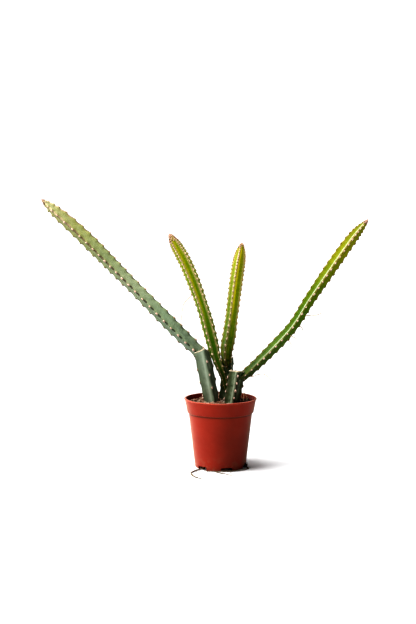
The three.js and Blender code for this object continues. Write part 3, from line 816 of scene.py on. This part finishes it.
def areole_kind(number):
    """One cushion of wool, a jagged dome, with a few bristles that lean outwards."""
    draw = random.Random(AREOLE_SEED + number)
    cushion = primitive("uv_sphere", segments=8, ring_count=6, radius=1)
    mark(cushion, "rise", [vertex.co.z for vertex in cushion.data.vertices])
    for vertex in cushion.data.vertices:
        vertex.co *= draw.uniform(*CUSHION_JAG)
        vertex.co.x *= AREOLE_RADIUS * AREOLE_NARROW
        vertex.co.y *= AREOLE_RADIUS * AREOLE_LONG
        vertex.co.z = max(vertex.co.z, CUSHION_FOOT) * AREOLE_HEIGHT
    pieces = [cushion]
    for bristle in range(BRISTLES):
        turn = 2 * math.pi * bristle / BRISTLES + draw.uniform(-BRISTLE_TURN, BRISTLE_TURN)
        lean = math.radians(draw.uniform(*BRISTLE_LEAN))
        length = BRISTLE_LENGTH * draw.uniform(*BRISTLE_LENGTH_SHARES)
        needle = primitive("cone", vertices=3, radius1=BRISTLE_RADIUS, radius2=0, depth=length,
                           end_fill_type="NOTHING")
        needle.data.transform(Matrix.Rotation(turn, 4, "Z") @ Matrix.Rotation(lean, 4, "Y")
                              @ Matrix.Translation((0, 0, length / 2 + BRISTLE_LIFT)))
        mark(needle, "rise", -1)
        pieces.append(needle)
    return join(pieces)


def areole_places(stem):
    """The place, outward, along, size and nearness to the tip of each areole of a stem."""
    line = MiddleLine(stem["path"])
    reach = 2 * stem["tuft"][1] if "tuft" in stem else SCALE_START
    for number, distance in enumerate(tooth_distances(stem, line.length)):
        if number == 0:
            continue
        middle, along, front, side = line.frame(distance)
        girth = girth_at(stem, line.length, distance)
        size = size_at(girth)
        at_tip = max(0, 1 - (line.length - distance) / reach)
        for rib in range(number % 2, stem["ribs"], 2):
            angle = math.radians(stem["roll"]) + rib * 2 * math.pi / stem["ribs"]
            outward = front * math.cos(angle) + side * math.sin(angle)
            place = middle + outward * (girth + size * stem["wave"] - AREOLE_SINK)
            pad = size * read_along(stem.get("pads", PADS), distance / line.length)
            yield place, outward, along, pad, at_tip


def tuft_places(stem, draw):
    """The woolly scales that crowd round a growing tip."""
    count, reach, size = stem["tuft"]
    line = MiddleLine(stem["path"])
    for number in range(count):
        share = (number / count) ** 1.2
        distance = line.length - reach * share
        middle, along, front, side = line.frame(distance)
        into_cap = min(1, (reach * share + SCALE_START) / TIP_CAP)
        girth = girth_at(stem, line.length, distance) * into_cap ** 0.5
        angle = SCALE_TURN * number + draw.uniform(-0.3, 0.3)
        outward = front * math.cos(angle) + side * math.sin(angle)
        lean = (outward + along * (1.2 - 0.8 * share)).normalized()
        yield middle + outward * SCALE_SINK * girth, lean, along, size * draw.uniform(*SCALE_SIZES), 1


def areoles(stems, kinds, seed):
    draw = random.Random(seed)
    copies = []
    for stem in stems:
        places = list(areole_places(stem))
        if "tuft" in stem:
            places += tuft_places(stem, draw)
        for place, outward, along, size, at_tip in places:
            kind = draw.choice(kinds)
            across = outward.cross(along).normalized()
            turn = Matrix((across, across.cross(outward), outward)).transposed().to_4x4()
            spin = Matrix.Rotation(draw.uniform(-AREOLE_SPIN, AREOLE_SPIN), 4, "Z")
            scale = Matrix.Scale(size * draw.uniform(*AREOLE_SIZES), 4)
            copies.append(set_down(kind, Matrix.Translation(AXIS + place) @ turn @ spin @ scale))
            mark(copies[-1], "tip", at_tip)
    whole = join(copies)
    bpy.ops.object.shade_smooth()
    return whole


# The pot

def spun(profile, steps):
    """A line of (radius, height), drawn corner by corner, spun round the pot's axis."""
    piece = primitive("plane", size=0.01)
    bpy.ops.object.mode_set(mode="EDIT")
    bpy.ops.mesh.merge(type="CENTER")
    here = Vector((profile[0][0], 0, profile[0][1]))
    bpy.ops.transform.translate(value=here)
    for radius, height in profile[1:]:
        there = Vector((radius, 0, height))
        bpy.ops.mesh.extrude_vertices_move(TRANSFORM_OT_translate={"value": there - here})
        here = there
    bpy.ops.mesh.select_all(action="SELECT")
    bpy.ops.mesh.spin(steps=steps, angle=2 * math.pi, center=(0, 0, 0), axis=(0, 0, 1))
    bpy.ops.object.mode_set(mode="OBJECT")
    close_up(piece)
    piece.data.transform(Matrix.Translation(AXIS))
    return piece


def rounded_corner(corner, before, after, radius, steps=4):
    """Points of a small arc in place of a profile's corner."""
    corner, before, after = Vector(corner), Vector(before), Vector(after)
    start = corner + (before - corner).normalized() * radius
    end = corner + (after - corner).normalized() * radius
    shares = [step / steps for step in range(steps + 1)]
    return [tuple(start.lerp(corner, t).lerp(corner.lerp(end, t), t)) for t in shares]


def rounded_profile(profile):
    """The (radius, height) of a profile of (radius, height, rounding), with arcs for corners."""
    points = []
    for i, (*corner, rounding) in enumerate(profile):
        if rounding:
            points += rounded_corner(corner, profile[i - 1][:2], profile[i + 1][:2], rounding)
        else:
            points.append(corner)
    return points


def inside_profile():
    """The inside of the pot's wall, from the floor's edge to below the rim."""
    return [
        (BODY_FOOT_RADIUS - 2 * WALL, FLOOR_Z + WALL),
        (BODY_FOOT_RADIUS - WALL, FLOOR_Z + 2 * WALL),
        (BODY_TOP_RADIUS - WALL, POT_HEIGHT - BAND_HEIGHT - SHOULDER_DROP),
        (BAND_FOOT_RADIUS - WALL, POT_HEIGHT - BAND_HEIGHT + SHOULDER_DROP),
    ]


def pot_profile():
    """The moulding's section, from the underside of the floor round to its top."""
    band_z = POT_HEIGHT - BAND_HEIGHT
    lip_z = POT_HEIGHT - LIP_HEIGHT
    inside = [(*corner, rounding) for corner, rounding
              in zip(inside_profile(), (0, 0.0005, 0.0004, 0.0004))]
    return rounded_profile([
        (0, FLOOR_Z, 0),
        (FOOT_INNER_RADIUS - FOOT_DRAFT, FLOOR_Z, 0),
        (FOOT_INNER_RADIUS, 0, 0.0002),
        (FOOT_OUTER_RADIUS, 0, 0.0002),
        (FOOT_OUTER_RADIUS + 0.5 * FOOT_CHAMFER, FOOT_CHAMFER, 0),
        (BODY_FOOT_RADIUS, BODY_FOOT_Z, 0.0012),
        (BODY_TOP_RADIUS, band_z - 0.5 * SHOULDER_DROP, 0.0002),
        (BAND_FOOT_RADIUS, band_z, 0.0004),
        (RIM_RADIUS - LIP_OVERHANG, lip_z, 0.0002),
        (RIM_RADIUS, lip_z + LIP_CHAMFER, 0.00015),
        (RIM_RADIUS, POT_HEIGHT, 0.0004),
        (RIM_INNER_RADIUS, POT_HEIGHT, 0.0003),
        *reversed(inside),
        (0, FLOOR_Z + WALL, 0),
    ])


def lip_ripple(pot):
    """The thin lip is a little out of true, as moulded plastic cools."""
    for vertex in pot.data.vertices:
        arm = vertex.co - AXIS
        share = max((arm.z - (POT_HEIGHT - LIP_DIP_REACH)) / LIP_DIP_REACH, 0)
        turn = math.atan2(arm.y, arm.x)
        dip = 1 + math.sin(3 * turn + 0.7) * 0.6 + math.sin(7 * turn) * 0.4
        vertex.co.z -= share * LIP_DIP * dip
        squeeze = 1 + RIM_OVAL * (arm.z / POT_HEIGHT) * math.cos(2 * turn + 0.5)
        vertex.co.x = AXIS.x + arm.x * squeeze
        vertex.co.y = AXIS.y + arm.y * squeeze


def mark_inside(pot):
    """Notes which corners lie on the wall's inner side, which is darkened: soil stain and painted
    shade inside the pot.
    """
    inner = sorted((z, radius) for radius, z in inside_profile()) + [(POT_HEIGHT, RIM_INNER_RADIUS)]
    arms = [vertex.co - AXIS for vertex in pot.data.vertices]
    mark(pot, "inside", [arm.z > FLOOR_Z and arm.xy.length < read_along(inner, arm.z) + 0.3 * WALL
                         for arm in arms])


def make_pot():
    pot = spun(pot_profile(), POT_STEPS)
    for number in range(NOTCH_COUNT):
        turn = FIRST_NOTCH + number * 2 * math.pi / NOTCH_COUNT
        place = Matrix.Translation(AXIS) @ Matrix.Rotation(turn, 4, "Z")
        notch = primitive("cube", size=1)
        notch.data.transform(place @ Matrix.Translation((FOOT_OUTER_RADIUS, 0, 0))
                             @ Matrix.Diagonal((NOTCH_DEPTH, NOTCH_WIDTH, 2 * FLOOR_Z, 1)))
        apply_modifier(notch, "BEVEL", width=NOTCH_ROUNDING, segments=3)
        combine(pot, notch, "DIFFERENCE")
        drain = primitive("cylinder", vertices=32, radius=DRAIN_RADIUS, depth=4 * WALL)
        drain.data.transform(place @ Matrix.Translation((DRAIN_RING_RADIUS, 0, FLOOR_Z + 0.5 * WALL)))
        combine(pot, drain, "DIFFERENCE")
    mark_inside(pot)
    lip_ripple(pot)
    close_up(pot)
    bpy.ops.object.shade_smooth_by_angle(angle=math.radians(40))
    return pot


# The soil and what lies on it

def soil_top(x, y):
    """The height of the mounded, lumpy soil, the same as the plan's, with a crumbly relief."""
    reach = math.hypot(x, y) / RIM_RADIUS
    a, b = x * 1000, y * 1000
    lumps = math.sin(0.62 * a + 1.3) * math.cos(0.55 * b - 0.4) + 0.6 * math.sin(0.9 * b - 0.7 * a)
    grain = sum(noise.noise(Vector((x, y, 0.3)) / size) * height for size, height in SOIL_GRAINS)
    return SOIL_EDGE_Z + SOIL_MOUND * (1 - reach * reach) + SOIL_LUMP * lumps + grain


def soil_edge_radius():
    (low_radius, low_z), (high_radius, high_z) = inside_profile()[-1], (RIM_INNER_RADIUS, POT_HEIGHT)
    share = (SOIL_EDGE_Z - low_z) / (high_z - low_z)
    return low_radius + share * (high_radius - low_radius) - SOIL_GAP


def make_soil(cuttings):
    """The root ball: its crumbly top, its wall along the pot's inside, and its flat bottom."""
    turns = [2 * math.pi * i / SOIL_SIDES for i in range(SOIL_SIDES)]
    wall = [(0, SOIL_BOTTOM_Z)]
    wall += [(radius - SOIL_GAP, max(z, SOIL_BOTTOM_Z)) for radius, z in inside_profile()]
    places = [[(*polar(radius, turn), z) for turn in turns] for radius, z in wall]
    for ring in range(SOIL_RINGS, -1, -1):
        row = [polar(soil_edge_radius() * ring / SOIL_RINGS, turn) for turn in turns]
        places.append([(x, y, soil_top(x, y)) for x, y in row])
    soil = wrap(np.array(places))
    for cutting in cuttings:
        combine(soil, stem_skin(cutting), "DIFFERENCE")
    close_up(soil)
    bpy.ops.object.shade_smooth_by_angle(angle=math.radians(50))
    return soil


def crumb_kind(number):
    """A rough little lump of peat."""
    draw = random.Random(CRUMB_SEED + number)
    crumb = primitive("ico_sphere", subdivisions=1, radius=1)
    for vertex in crumb.data.vertices:
        vertex.co *= draw.uniform(*CRUMB_JAG)
        vertex.co.z *= CRUMB_FLAT
    return crumb


def chip_kind(number):
    """A flat splinter of bark."""
    draw = random.Random(CHIP_SEED + number)
    chip = primitive("cube", size=1)
    size = (draw.uniform(*CHIP_LONG), draw.uniform(*CHIP_WIDE), CHIP_THICK, 1)
    chip.data.transform(Matrix.Diagonal(size))
    for vertex in chip.data.vertices:
        vertex.co += Vector([draw.uniform(-CHIP_JAG, CHIP_JAG) for _ in range(3)])
    return chip


def cutting_feet(cuttings):
    """Where each cutting passes the top of the soil, with its girth there."""
    feet = []
    for cutting in cuttings:
        line = MiddleLine(cutting["path"])
        distance = line.length * cutting["buried"]
        feet.append((line.frame(distance)[0].xy, girth_at(cutting, line.length, distance)))
    return feet


def soil_spot(draw, feet, edge):
    """A place on the soil that no cutting stands on."""
    while True:
        x, y = polar(edge * math.sqrt(draw.random()), draw.uniform(0, 2 * math.pi))
        if all(math.hypot(x - foot.x, y - foot.y) > CUTTING_CLEARANCE * girth for foot, girth in feet):
            return x, y


def scatter(kinds, count, sizes, cuttings, seed):
    """Copies of the kinds, strewn over the soil, each with a tone of its own."""
    draw = random.Random(seed)
    feet = cutting_feet(cuttings)
    copies = []
    for _ in range(count):
        size = sizes[0] + (sizes[1] - sizes[0]) * draw.random() ** 2.5
        x, y = soil_spot(draw, feet, soil_edge_radius() - size)
        kind = draw.choice(kinds)
        spin = Matrix.Rotation(draw.uniform(*ANY_TURN), 4, "Z")
        tilt = Matrix.Rotation(draw.uniform(-STREWN_TILT, STREWN_TILT), 4, "X")
        place = AXIS + Vector((x, y, soil_top(x, y) + size * STREWN_RISE))
        copies.append(set_down(kind, Matrix.Translation(place) @ spin @ tilt @ Matrix.Scale(size, 4)))
        mark(copies[-1], "tone", draw.random())
    return join(copies)


def fibres(cuttings, seed):
    """Fine peat fibres, bent along the soil."""
    draw = random.Random(seed)
    feet = cutting_feet(cuttings)
    made = []
    for _ in range(FIBRE_COUNT):
        x, y = soil_spot(draw, feet, FIBRE_REACH)
        heading = draw.uniform(*ANY_TURN)
        path = []
        for _ in range(FIBRE_POINTS):
            path.append((x, y, soil_top(x, y) + draw.uniform(*FIBRE_LIFTS)))
            heading += draw.uniform(-0.7, 0.7)
            stride = draw.uniform(*FIBRE_STRIDES)
            x, y = x + stride * math.cos(heading), y + stride * math.sin(heading)
        girth = draw.uniform(*FIBRE_GIRTHS)
        made.append(thread(path, [(0, girth), (1, 0.6 * girth)], sides=3, step=FIBRE_STEP))
    for fibre in made:
        mark(fibre, "tone", draw.uniform(0.6, 1))
    return join(made)


# The roots

def tangle(centre, reach, count, seed):
    """A small knot of thin roots, wound round a place."""
    draw = random.Random(seed)
    paths = []
    for _ in range(count):
        turn = draw.uniform(*ANY_TURN)
        path = []
        for _ in range(TANGLE_POINTS):
            turn += draw.uniform(*TANGLE_TURNS)
            path.append((centre[0] + reach[0] * math.cos(turn) * draw.uniform(*TANGLE_SPREAD),
                         centre[1] + reach[1] * math.sin(turn) * draw.uniform(*TANGLE_SPREAD),
                         max(centre[2] + reach[2] * draw.uniform(-1, 1), LOWEST_THREAD_Z)))
        paths.append(path)
    return threads(paths, TANGLE_GIRTH, FINE_KNOTS, seed)


def root(plan, sides, seed):
    return thread(plan["path"], plan["girth"], ROOT_KNOTS, seed, sides, ROOT_STEP)


def make_roots():
    tan = root_material("root_tan", ROOT_TAN)
    long = join([root(ROOT_LONG, 10, 3), threads(ROOTLETS_LONG, ROOTLET_GIRTH, FINE_KNOTS, 11)])
    dress(long, "trailing_root_left", "root", [tan], ["root_long"])
    front = join([root(ROOT_FRONT, 10, 4), root(ROOT_BRANCH, 8, 5),
                  threads(ROOTLETS_FRONT, ROOTLET_GIRTH, FINE_KNOTS, 21)])
    dress(front, "trailing_root_front", "root", [tan], ["root_front"])
    dark = root_material("root_dark", ROOT_DARK)
    dress(join([tangle(*knot) for knot in TANGLES]), "root_knots", "root", [dark])


def make_hairs():
    straw = root_material("hair_straw", HAIR_STRAW)
    for name, paths, girth, knots, seed in (
            ("aerial_root_leaning_stem", HAIRS_LEANING, HAIR_GIRTH, 0.15, 51),
            ("aerial_roots_right_stem", HAIRS_RIGHT, HAIR_GIRTH, 0.15, 61),
            ("root_loops_on_soil", SOIL_LOOPS, LOOP_GIRTH, 0.2, 71)):
        dress(threads(paths, girth, knots, seed), name, "root", [straw])


# Materials

class Nodes:
    """Builds a node tree. A socket is given a number, a colour, or a socket to link from."""

    def __init__(self, tree):
        self.tree = tree

    def feed(self, sockets, values):
        for key, value in values.items():
            if isinstance(value, bpy.types.NodeSocket):
                self.tree.links.new(value, sockets[key])
            elif sockets[key].type == "RGBA":
                sockets[key].default_value = (*value, 1)
            else:
                sockets[key].default_value = value

    def add(self, kind, inputs=None, **settings):
        made = self.tree.nodes.new(f"ShaderNode{kind}")
        for setting, value in settings.items():
            setattr(made, setting, value)
        self.feed(made.inputs, inputs or {})
        return made

    def math(self, operation, first, second=0.0, clamp=False):
        made = self.add("Math", {0: first, 1: second}, operation=operation, use_clamp=clamp)
        return made.outputs[0]

    def times(self, first, second, clamp=False):
        return self.math("MULTIPLY", first, second, clamp)

    def plus(self, first, second, clamp=False):
        return self.math("ADD", first, second, clamp)

    def span(self, value, low, high, to_low=0.0, to_high=1.0):
        """A value read from one span to another, held at its ends."""
        made = self.add("MapRange", {"Value": value, "From Min": low, "From Max": high,
                                     "To Min": to_low, "To Max": to_high})
        return made.outputs["Result"]

    def mix(self, factor, first, second, blend="MIX"):
        made = self.add("Mix", {0: factor, 6: first, 7: second}, data_type="RGBA",
                        blend_type=blend, clamp_factor=True)
        return made.outputs[2]

    def place(self):
        return self.add("TexCoord").outputs["Object"]

    def split(self, vector, axis):
        return self.add("SeparateXYZ", {0: vector}).outputs[axis]

    def attribute(self, name):
        return self.add("Attribute", attribute_name=name).outputs["Fac"]

    def clouds(self, scale, detail=2.0, roughness=0.5):
        made = self.add("TexNoise", {"Vector": self.place(), "Scale": scale, "Detail": detail,
                                     "Roughness": roughness})
        return made.outputs["Fac"]

    def ramp(self, value, stops):
        made = self.add("ValToRGB", {"Fac": value})
        points = made.color_ramp.elements
        while len(points) < len(stops):
            points.new(0.5)
        while len(points) > len(stops):
            points.remove(points[-1])
        for point, (place, color) in zip(points, stops):
            point.position = place
            point.color = (*color, 1)
        return made.outputs["Color"]

    def group(self, name, inputs):
        return self.add("Group", inputs, node_tree=bpy.data.node_groups[name]).outputs

    def mottled(self, colors, mottle):
        """Two colours in patches under a fine speckle: the colour, and where the specks are."""
        labels = ("Dark", "Light", "Patch Scale", "Speckle Scale", "Speckle")
        made = self.group("mottle", dict(zip(labels, (*colors, *mottle))))
        return made["Color"], made["Specks"]


def new_group(name, colors, floats, results):
    """A node group, with the sockets inside it that hold what is given and what it returns."""
    tree = bpy.data.node_groups.new(name, "ShaderNodeTree")
    for label in (*colors, *floats):
        kind = "NodeSocketColor" if label in colors else "NodeSocketFloat"
        tree.interface.new_socket(name=label, in_out="INPUT", socket_type=kind)
    for label in results:
        kind = "NodeSocketColor" if label == "Color" else "NodeSocketFloat"
        tree.interface.new_socket(name=label, in_out="OUTPUT", socket_type=kind)
    given = tree.nodes.new("NodeGroupInput").outputs
    return Nodes(tree), given, tree.nodes.new("NodeGroupOutput").inputs


def make_mottle_group():
    """Soft patches between two colours, with a fine speckle over them."""
    n, given, result = new_group("mottle", ["Light", "Dark"],
                                 ["Patch Scale", "Speckle Scale", "Speckle"], ["Color", "Specks"])
    patches = n.span(n.clouds(given["Patch Scale"], 3.0, 0.6), 0.35, 0.65)
    specks = n.span(n.clouds(given["Speckle Scale"], 2.0, 0.7), 0.45, 0.7)
    base = n.mix(patches, given["Dark"], given["Light"])
    color = n.mix(n.times(specks, given["Speckle"]), base, given["Light"])
    n.feed(result, {"Color": color, "Specks": specks})


def make_stem_marks_group():
    """What every stem's skin carries: painted sheen in the grooves, pale crests, a painted highlight
    beside one rib, a flush, dashes and the cut.
    """
    marks = ["Groove Sheen", "Crest", "Painted Highlight", "Flush", "Dash"]
    n, given, result = new_group("stem_marks", ["Skin", *marks],
                                 [f"{name} Amount" for name in (*marks, "Edge")],
                                 ["Color", "Roughness", "Height"])
    darker = n.mix(1.0, given["Skin"], (0.84, 0.87, 0.82), "MULTIPLY")
    lighter = n.mix(1.0, given["Skin"], (1.08, 1.08, 1.06), "MULTIPLY")
    color, specks = n.mottled((darker, lighter), SKIN_MOTTLE)
    ragged = n.clouds(1500.0, 3.0)
    broad = n.clouds(330.0)
    crest, edge = n.attribute("crest"), n.attribute("edge")
    flank = n.math("SUBTRACT", crest, edge, clamp=True)
    for name, tint, where in (
            # Painted sheen: a lighter band along the middle of each groove
            ("Groove Sheen", "Groove Sheen", n.times(n.attribute("groove"), n.span(broad, 0.3, 0.6))),
            ("Crest", "Crest", n.times(crest, n.span(ragged, 0.4, 0.56, 0.35, 1.0))),
            # Painted highlight: a lighter line beside one rib
            ("Painted Highlight", "Painted Highlight", n.attribute("painted_highlight")),
            ("Flush", "Flush", n.times(flank, n.span(ragged, 0.42, 0.62))),
            ("Edge", "Dash", n.times(edge, n.span(ragged, 0.3, 0.55)))):
        amount = n.times(where, given[f"{name} Amount"], clamp=True)
        color = n.mix(amount, color, given[tint])

    dash = n.span(n.plus(n.attribute("dash"), n.times(ragged, 1.4)), 0.05, 0.75)
    dash = n.times(dash, given["Dash Amount"])
    scar = n.span(n.attribute("scar"), 0.25, 0.7)
    cut = n.attribute("cut")
    rim = n.span(n.plus(cut, n.times(ragged, 0.3)), 0.3, 0.5)
    face = n.span(cut, 0.62, 0.95)
    for factor, tint in ((dash, given["Dash"]), (scar, SCAR_BROWN),
                         (rim, n.mix(n.span(ragged, 0.35, 0.65), *CORK)),
                         (face, n.mix(n.span(broad, 0.4, 0.6), *CALLUS))):
        color = n.mix(factor, color, tint)

    dry = n.math("MAXIMUM", n.math("MAXIMUM", dash, rim), scar)
    rough = n.plus(n.span(broad, 0.3, 0.7, 0.4, 0.47), n.times(dry, 0.35), clamp=True)
    relief = n.plus(n.times(specks, 0.35), n.times(dash, -0.5))
    relief = n.plus(relief, n.times(n.times(dry, ragged), 0.8))
    n.feed(result, {"Color": color, "Roughness": rough, "Height": relief})


class Finish(Nodes):
    """A material with one Principled shader, which is given its fixed values first."""

    def __init__(self, name, constants):
        self.material = bpy.data.materials.new(name)
        self.material.use_nodes = True
        super().__init__(self.material.node_tree)
        self.tree.nodes.clear()
        self.shader = self.add("BsdfPrincipled", constants)
        self.output = self.add("OutputMaterial", {"Surface": self.shader.outputs["BSDF"]})

    def put_on(self, color, roughness, height, depth):
        """Feeds the shader a colour, a roughness and a bump of that depth in metres."""
        bump = self.add("Bump", {"Height": height, "Strength": 1.0, "Distance": depth})
        self.feed(self.shader.inputs, {"Base Color": color, "Roughness": roughness,
                                       "Normal": bump.outputs["Normal"]})
        return self.material


def skin_material(name, skin, dash, dashes, edges, gloss, low_crest=None, **marks):
    """Waxy skin. Low crest is the crests' amount low on the stem, where it differs."""
    n = Finish(name, {"Specular IOR Level": gloss})
    along = n.plus(n.attribute("along"), n.span(n.clouds(120.0), 0.0, 1.0, -0.06, 0.06))
    given = {"Skin": n.ramp(along, skin), "Dash": n.ramp(along, dash), "Dash Amount": dashes,
             "Edge Amount": edges}
    for kind, (color, amount) in marks.items():
        given[kind] = color
        given[f"{kind} Amount"] = amount
    if low_crest is not None:
        given["Crest Amount"] = n.span(along, *LOW_CREST_SPAN, low_crest, given["Crest Amount"])
    marked = n.group("stem_marks", given)
    return n.put_on(marked["Color"], marked["Roughness"], marked["Height"], SKIN_RELIEF)


def wool_material(name, pale, foot_dark, foot_light):
    """Pale wool on a darker foot, with horn-coloured bristles and rusty scales at the tips."""
    n = Finish(name, {"Specular IOR Level": 0.2})
    tuft = n.clouds(3500.0, 3.0)
    strands = n.span(tuft, 0.35, 0.65)
    rise = n.attribute("rise")
    scale = n.mix(n.span(tuft, 0.4, 0.65), *TIP_SCALE)
    wool = n.mix(n.attribute("tip"), n.mix(strands, WOOL_SHADE, pale), scale)
    color = n.mix(n.span(rise, 0.1, 0.45), n.mix(strands, foot_dark, foot_light), wool)
    color = n.mix(n.span(rise, -0.85, -0.95), color, n.mix(strands, *BRISTLE_HORN))
    return n.put_on(color, n.span(tuft, 0.3, 0.7, 0.75, 0.95), tuft, WOOL_RELIEF)


def plastic_material(name, gloss, sheen):
    """Satin moulded plastic, with a painted highlight on the thin lip, darkened inside by soil stain
    and painted shade, with dust low down.
    """
    n = Finish(name, {"Specular IOR Level": gloss, "Specular Tint": POT_SPECULAR_TINT,
                      "Sheen Weight": sheen, "Sheen Roughness": 0.33, "Sheen Tint": POT_SHEEN_TINT})
    color, _ = n.mottled(POT_RED, POT_MOTTLE)
    height = n.split(n.place(), "Z")
    # The thin lip is lightened: a painted highlight
    lip = n.span(height, POT_HEIGHT - 1.3 * LIP_HEIGHT, POT_HEIGHT - LIP_HEIGHT)
    color = n.mix(n.times(lip, 0.08), color, LIP_HIGHLIGHT)
    # A dark line painted just under the band: painted shadow of the band's step
    from_band_shadow = n.math("ABSOLUTE", n.math("SUBTRACT", height, BAND_SHADOW_Z))
    color = n.mix(n.span(from_band_shadow, *BAND_SHADOW_REACH, 0.6, 0.0), color, POT_BAND_SHADOW)
    scuff = n.clouds(260.0, 5.0)
    dust = n.times(n.span(height, DUST_TOP, 0.0), n.span(scuff, 0.48, 0.66))
    color = n.mix(n.times(dust, 0.35), color, DUST)
    # The inner wall is darkened: soil stain and painted shade inside the pot
    stain_and_shade = n.times(n.attribute("inside"), n.span(scuff, 0.2, 0.5, 0.7, 1.0))
    color = n.mix(stain_and_shade, color, POT_INSIDE_STAIN_AND_SHADE)
    return n.put_on(color, n.span(scuff, 0.3, 0.7, 0.5, 0.6), n.clouds(1800.0), POT_RELIEF)


def peat_material(name, use_tone):
    """Dark brown peat, darkened towards the right by painted shade. Loose crumbs vary to pale wood by
    their tone.
    """
    n = Finish(name, {"Specular IOR Level": 0.25})
    color, specks = n.mottled(PEAT, PEAT_MOTTLE)
    if use_tone:
        color = n.mix(0.75, color, n.ramp(n.attribute("tone"), PEAT_TONES))
    # Painted shade: the peat darkens towards the right
    painted_shade = n.span(n.split(n.place(), "X"), PEAT_PAINTED_SHADE_FROM, PEAT_PAINTED_SHADE_TO, 0.0, 0.88)
    color = n.mix(painted_shade, color, PEAT_PAINTED_SHADE)
    return n.put_on(color, n.span(specks, 0.0, 1.0, 0.82, 0.98), specks, PEAT_RELIEF)


def root_material(name, colors):
    n = Finish(name, {"Specular IOR Level": 0.3})
    color, specks = n.mottled(colors, ROOT_MOTTLE)
    return n.put_on(color, n.span(specks, 0.0, 1.0, 0.6, 0.85), specks, ROOT_RELIEF)


# The studio

def make_camera():
    ahead = Vector((0, math.cos(VIEW_PITCH), -math.sin(VIEW_PITCH)))
    bpy.ops.object.camera_add(location=AXIS + VIEW_AIM - ahead * VIEW_DISTANCE,
                              rotation=(math.pi / 2 - VIEW_PITCH, 0, 0))
    camera = bpy.context.object
    camera.data.lens = LENS
    camera.data.sensor_width = SENSOR
    bpy.context.scene.camera = camera


def make_floor():
    """A pale floor that runs out into the white of the studio."""
    floor = primitive("plane", size=FLOOR_SIZE)
    floor.name = "floor"
    n = Finish("pale_floor", {"Roughness": 0.9, "Specular IOR Level": 0.1})
    distance = n.add("VectorMath", {0: n.place()}, operation="LENGTH").outputs["Value"]
    seen = n.add("LightPath").outputs["Is Camera Ray"]
    n.feed(n.shader.inputs, {"Base Color": n.mix(seen, *FLOOR_GREYS)})
    fade = n.times(n.span(distance, *FLOOR_FADE), seen)
    glow = n.add("Emission", {"Color": WHITE, "Strength": 1.0})
    both = n.add("MixShader", {0: fade, 1: n.shader.outputs[0], 2: glow.outputs[0]})
    n.feed(n.output.inputs, {"Surface": both.outputs[0]})
    floor.data.materials.append(n.material)


def add_light(kind, name, place, aim, strength):
    bpy.ops.object.light_add(type=kind, location=AXIS + Vector(place))
    light = bpy.context.object
    light.name = name
    light.rotation_euler = (Vector(place) - Vector(aim)).to_track_quat("Z", "Y").to_euler()
    light.data.energy = strength
    return light


def make_lights():
    """Broad lights, the strongest from the left, and spots on the stems alone."""
    for name, (place, strength, width) in BROAD_LIGHTS.items():
        add_light("AREA", name, place, BROAD_AIM, strength).data.size = width
    for name, (place, strength, cone) in SPOTS.items():
        light = add_light("SPOT", name, place, SPOT_AIM, strength)
        light.data.spot_size = math.radians(cone)
        light.data.spot_blend = SPOT_BLEND
        light.data.shadow_soft_size = SPOT_SIZE
        light.visible_glossy = False


def make_world():
    """White to the camera, and a dim light that grows towards the back for everything else."""
    scene = bpy.context.scene
    scene.world = bpy.data.worlds.new("studio")
    scene.world.use_nodes = True
    n = Nodes(scene.world.node_tree)
    n.tree.nodes.clear()
    heading = n.split(n.add("TexCoord").outputs["Generated"], "Y")
    behind = n.span(heading, -0.2, 0.9, WORLD_FRONT, WORLD_BEHIND)
    dim = n.add("Background", {"Color": WHITE, "Strength": behind})
    white = n.add("Background", {"Color": WHITE, "Strength": 1.0})
    seen = n.add("LightPath").outputs["Is Camera Ray"]
    both = n.add("MixShader", {0: seen, 1: dim.outputs[0], 2: white.outputs[0]})
    n.add("OutputWorld", {"Surface": both.outputs[0]})
    scene.view_settings.view_transform = "Standard"
    scene.view_settings.look = "High Contrast"


# Putting the pieces together

def make_plants(kinds):
    wools = {name: wool_material(name, *colors) for name, colors in WOOLS.items()}
    for node_name, parts, slot, wool, seed in PLANTS:
        stems = [STEMS[part] for part in parts]
        finishes = [skin_material(f"skin_{part}", **SKINS[part]) for part in parts]
        skin = dress(plant_skin(stems), f"{node_name}_skin", slot, finishes, [node_name])
        finish_by(skin, "part")
        dress(areoles(stems, kinds, seed), f"{node_name}_areoles", slot, [wools[wool]], [node_name])


def make_peat(crumbs, chips):
    cuttings = [STEMS[part] for part in ("cutting_left", "cutting_right", "cutting_back")]
    peat = peat_material("peat", False)
    loose = peat_material("loose_peat", True)
    dress(make_soil(cuttings), "root_ball", "peat", [peat], ["soil"])
    strewn = scatter(crumbs, CRUMB_COUNT, CRUMB_SIZES, cuttings, 7)
    dress(strewn, "peat_crumbs", "peat", [loose])
    dress(scatter(chips, CHIP_COUNT, CHIP_SIZES, cuttings, 8), "bark_chips", "peat", [loose])
    dress(fibres(cuttings, 5), "peat_fibres", "peat", [loose])


def main():
    make_camera()
    make_mottle_group()
    make_stem_marks_group()
    kinds = [areole_kind(number) for number in range(AREOLE_KINDS)]
    crumbs = [crumb_kind(number) for number in range(STREWN_KINDS)]
    chips = [chip_kind(number) for number in range(STREWN_KINDS)]
    make_plants(kinds)
    plastics = [plastic_material("pot_plastic", 0.95, 1.0), plastic_material("pot_inside", 0.1, 0.0)]
    finish_by(dress(make_pot(), "nursery_pot", "pot_plastic", plastics, ["pot"]), "inside")
    make_peat(crumbs, chips)
    make_roots()
    make_hairs()
    for kind in kinds + crumbs + chips:
        bpy.data.objects.remove(kind)
    make_floor()
    make_lights()
    make_world()


main()
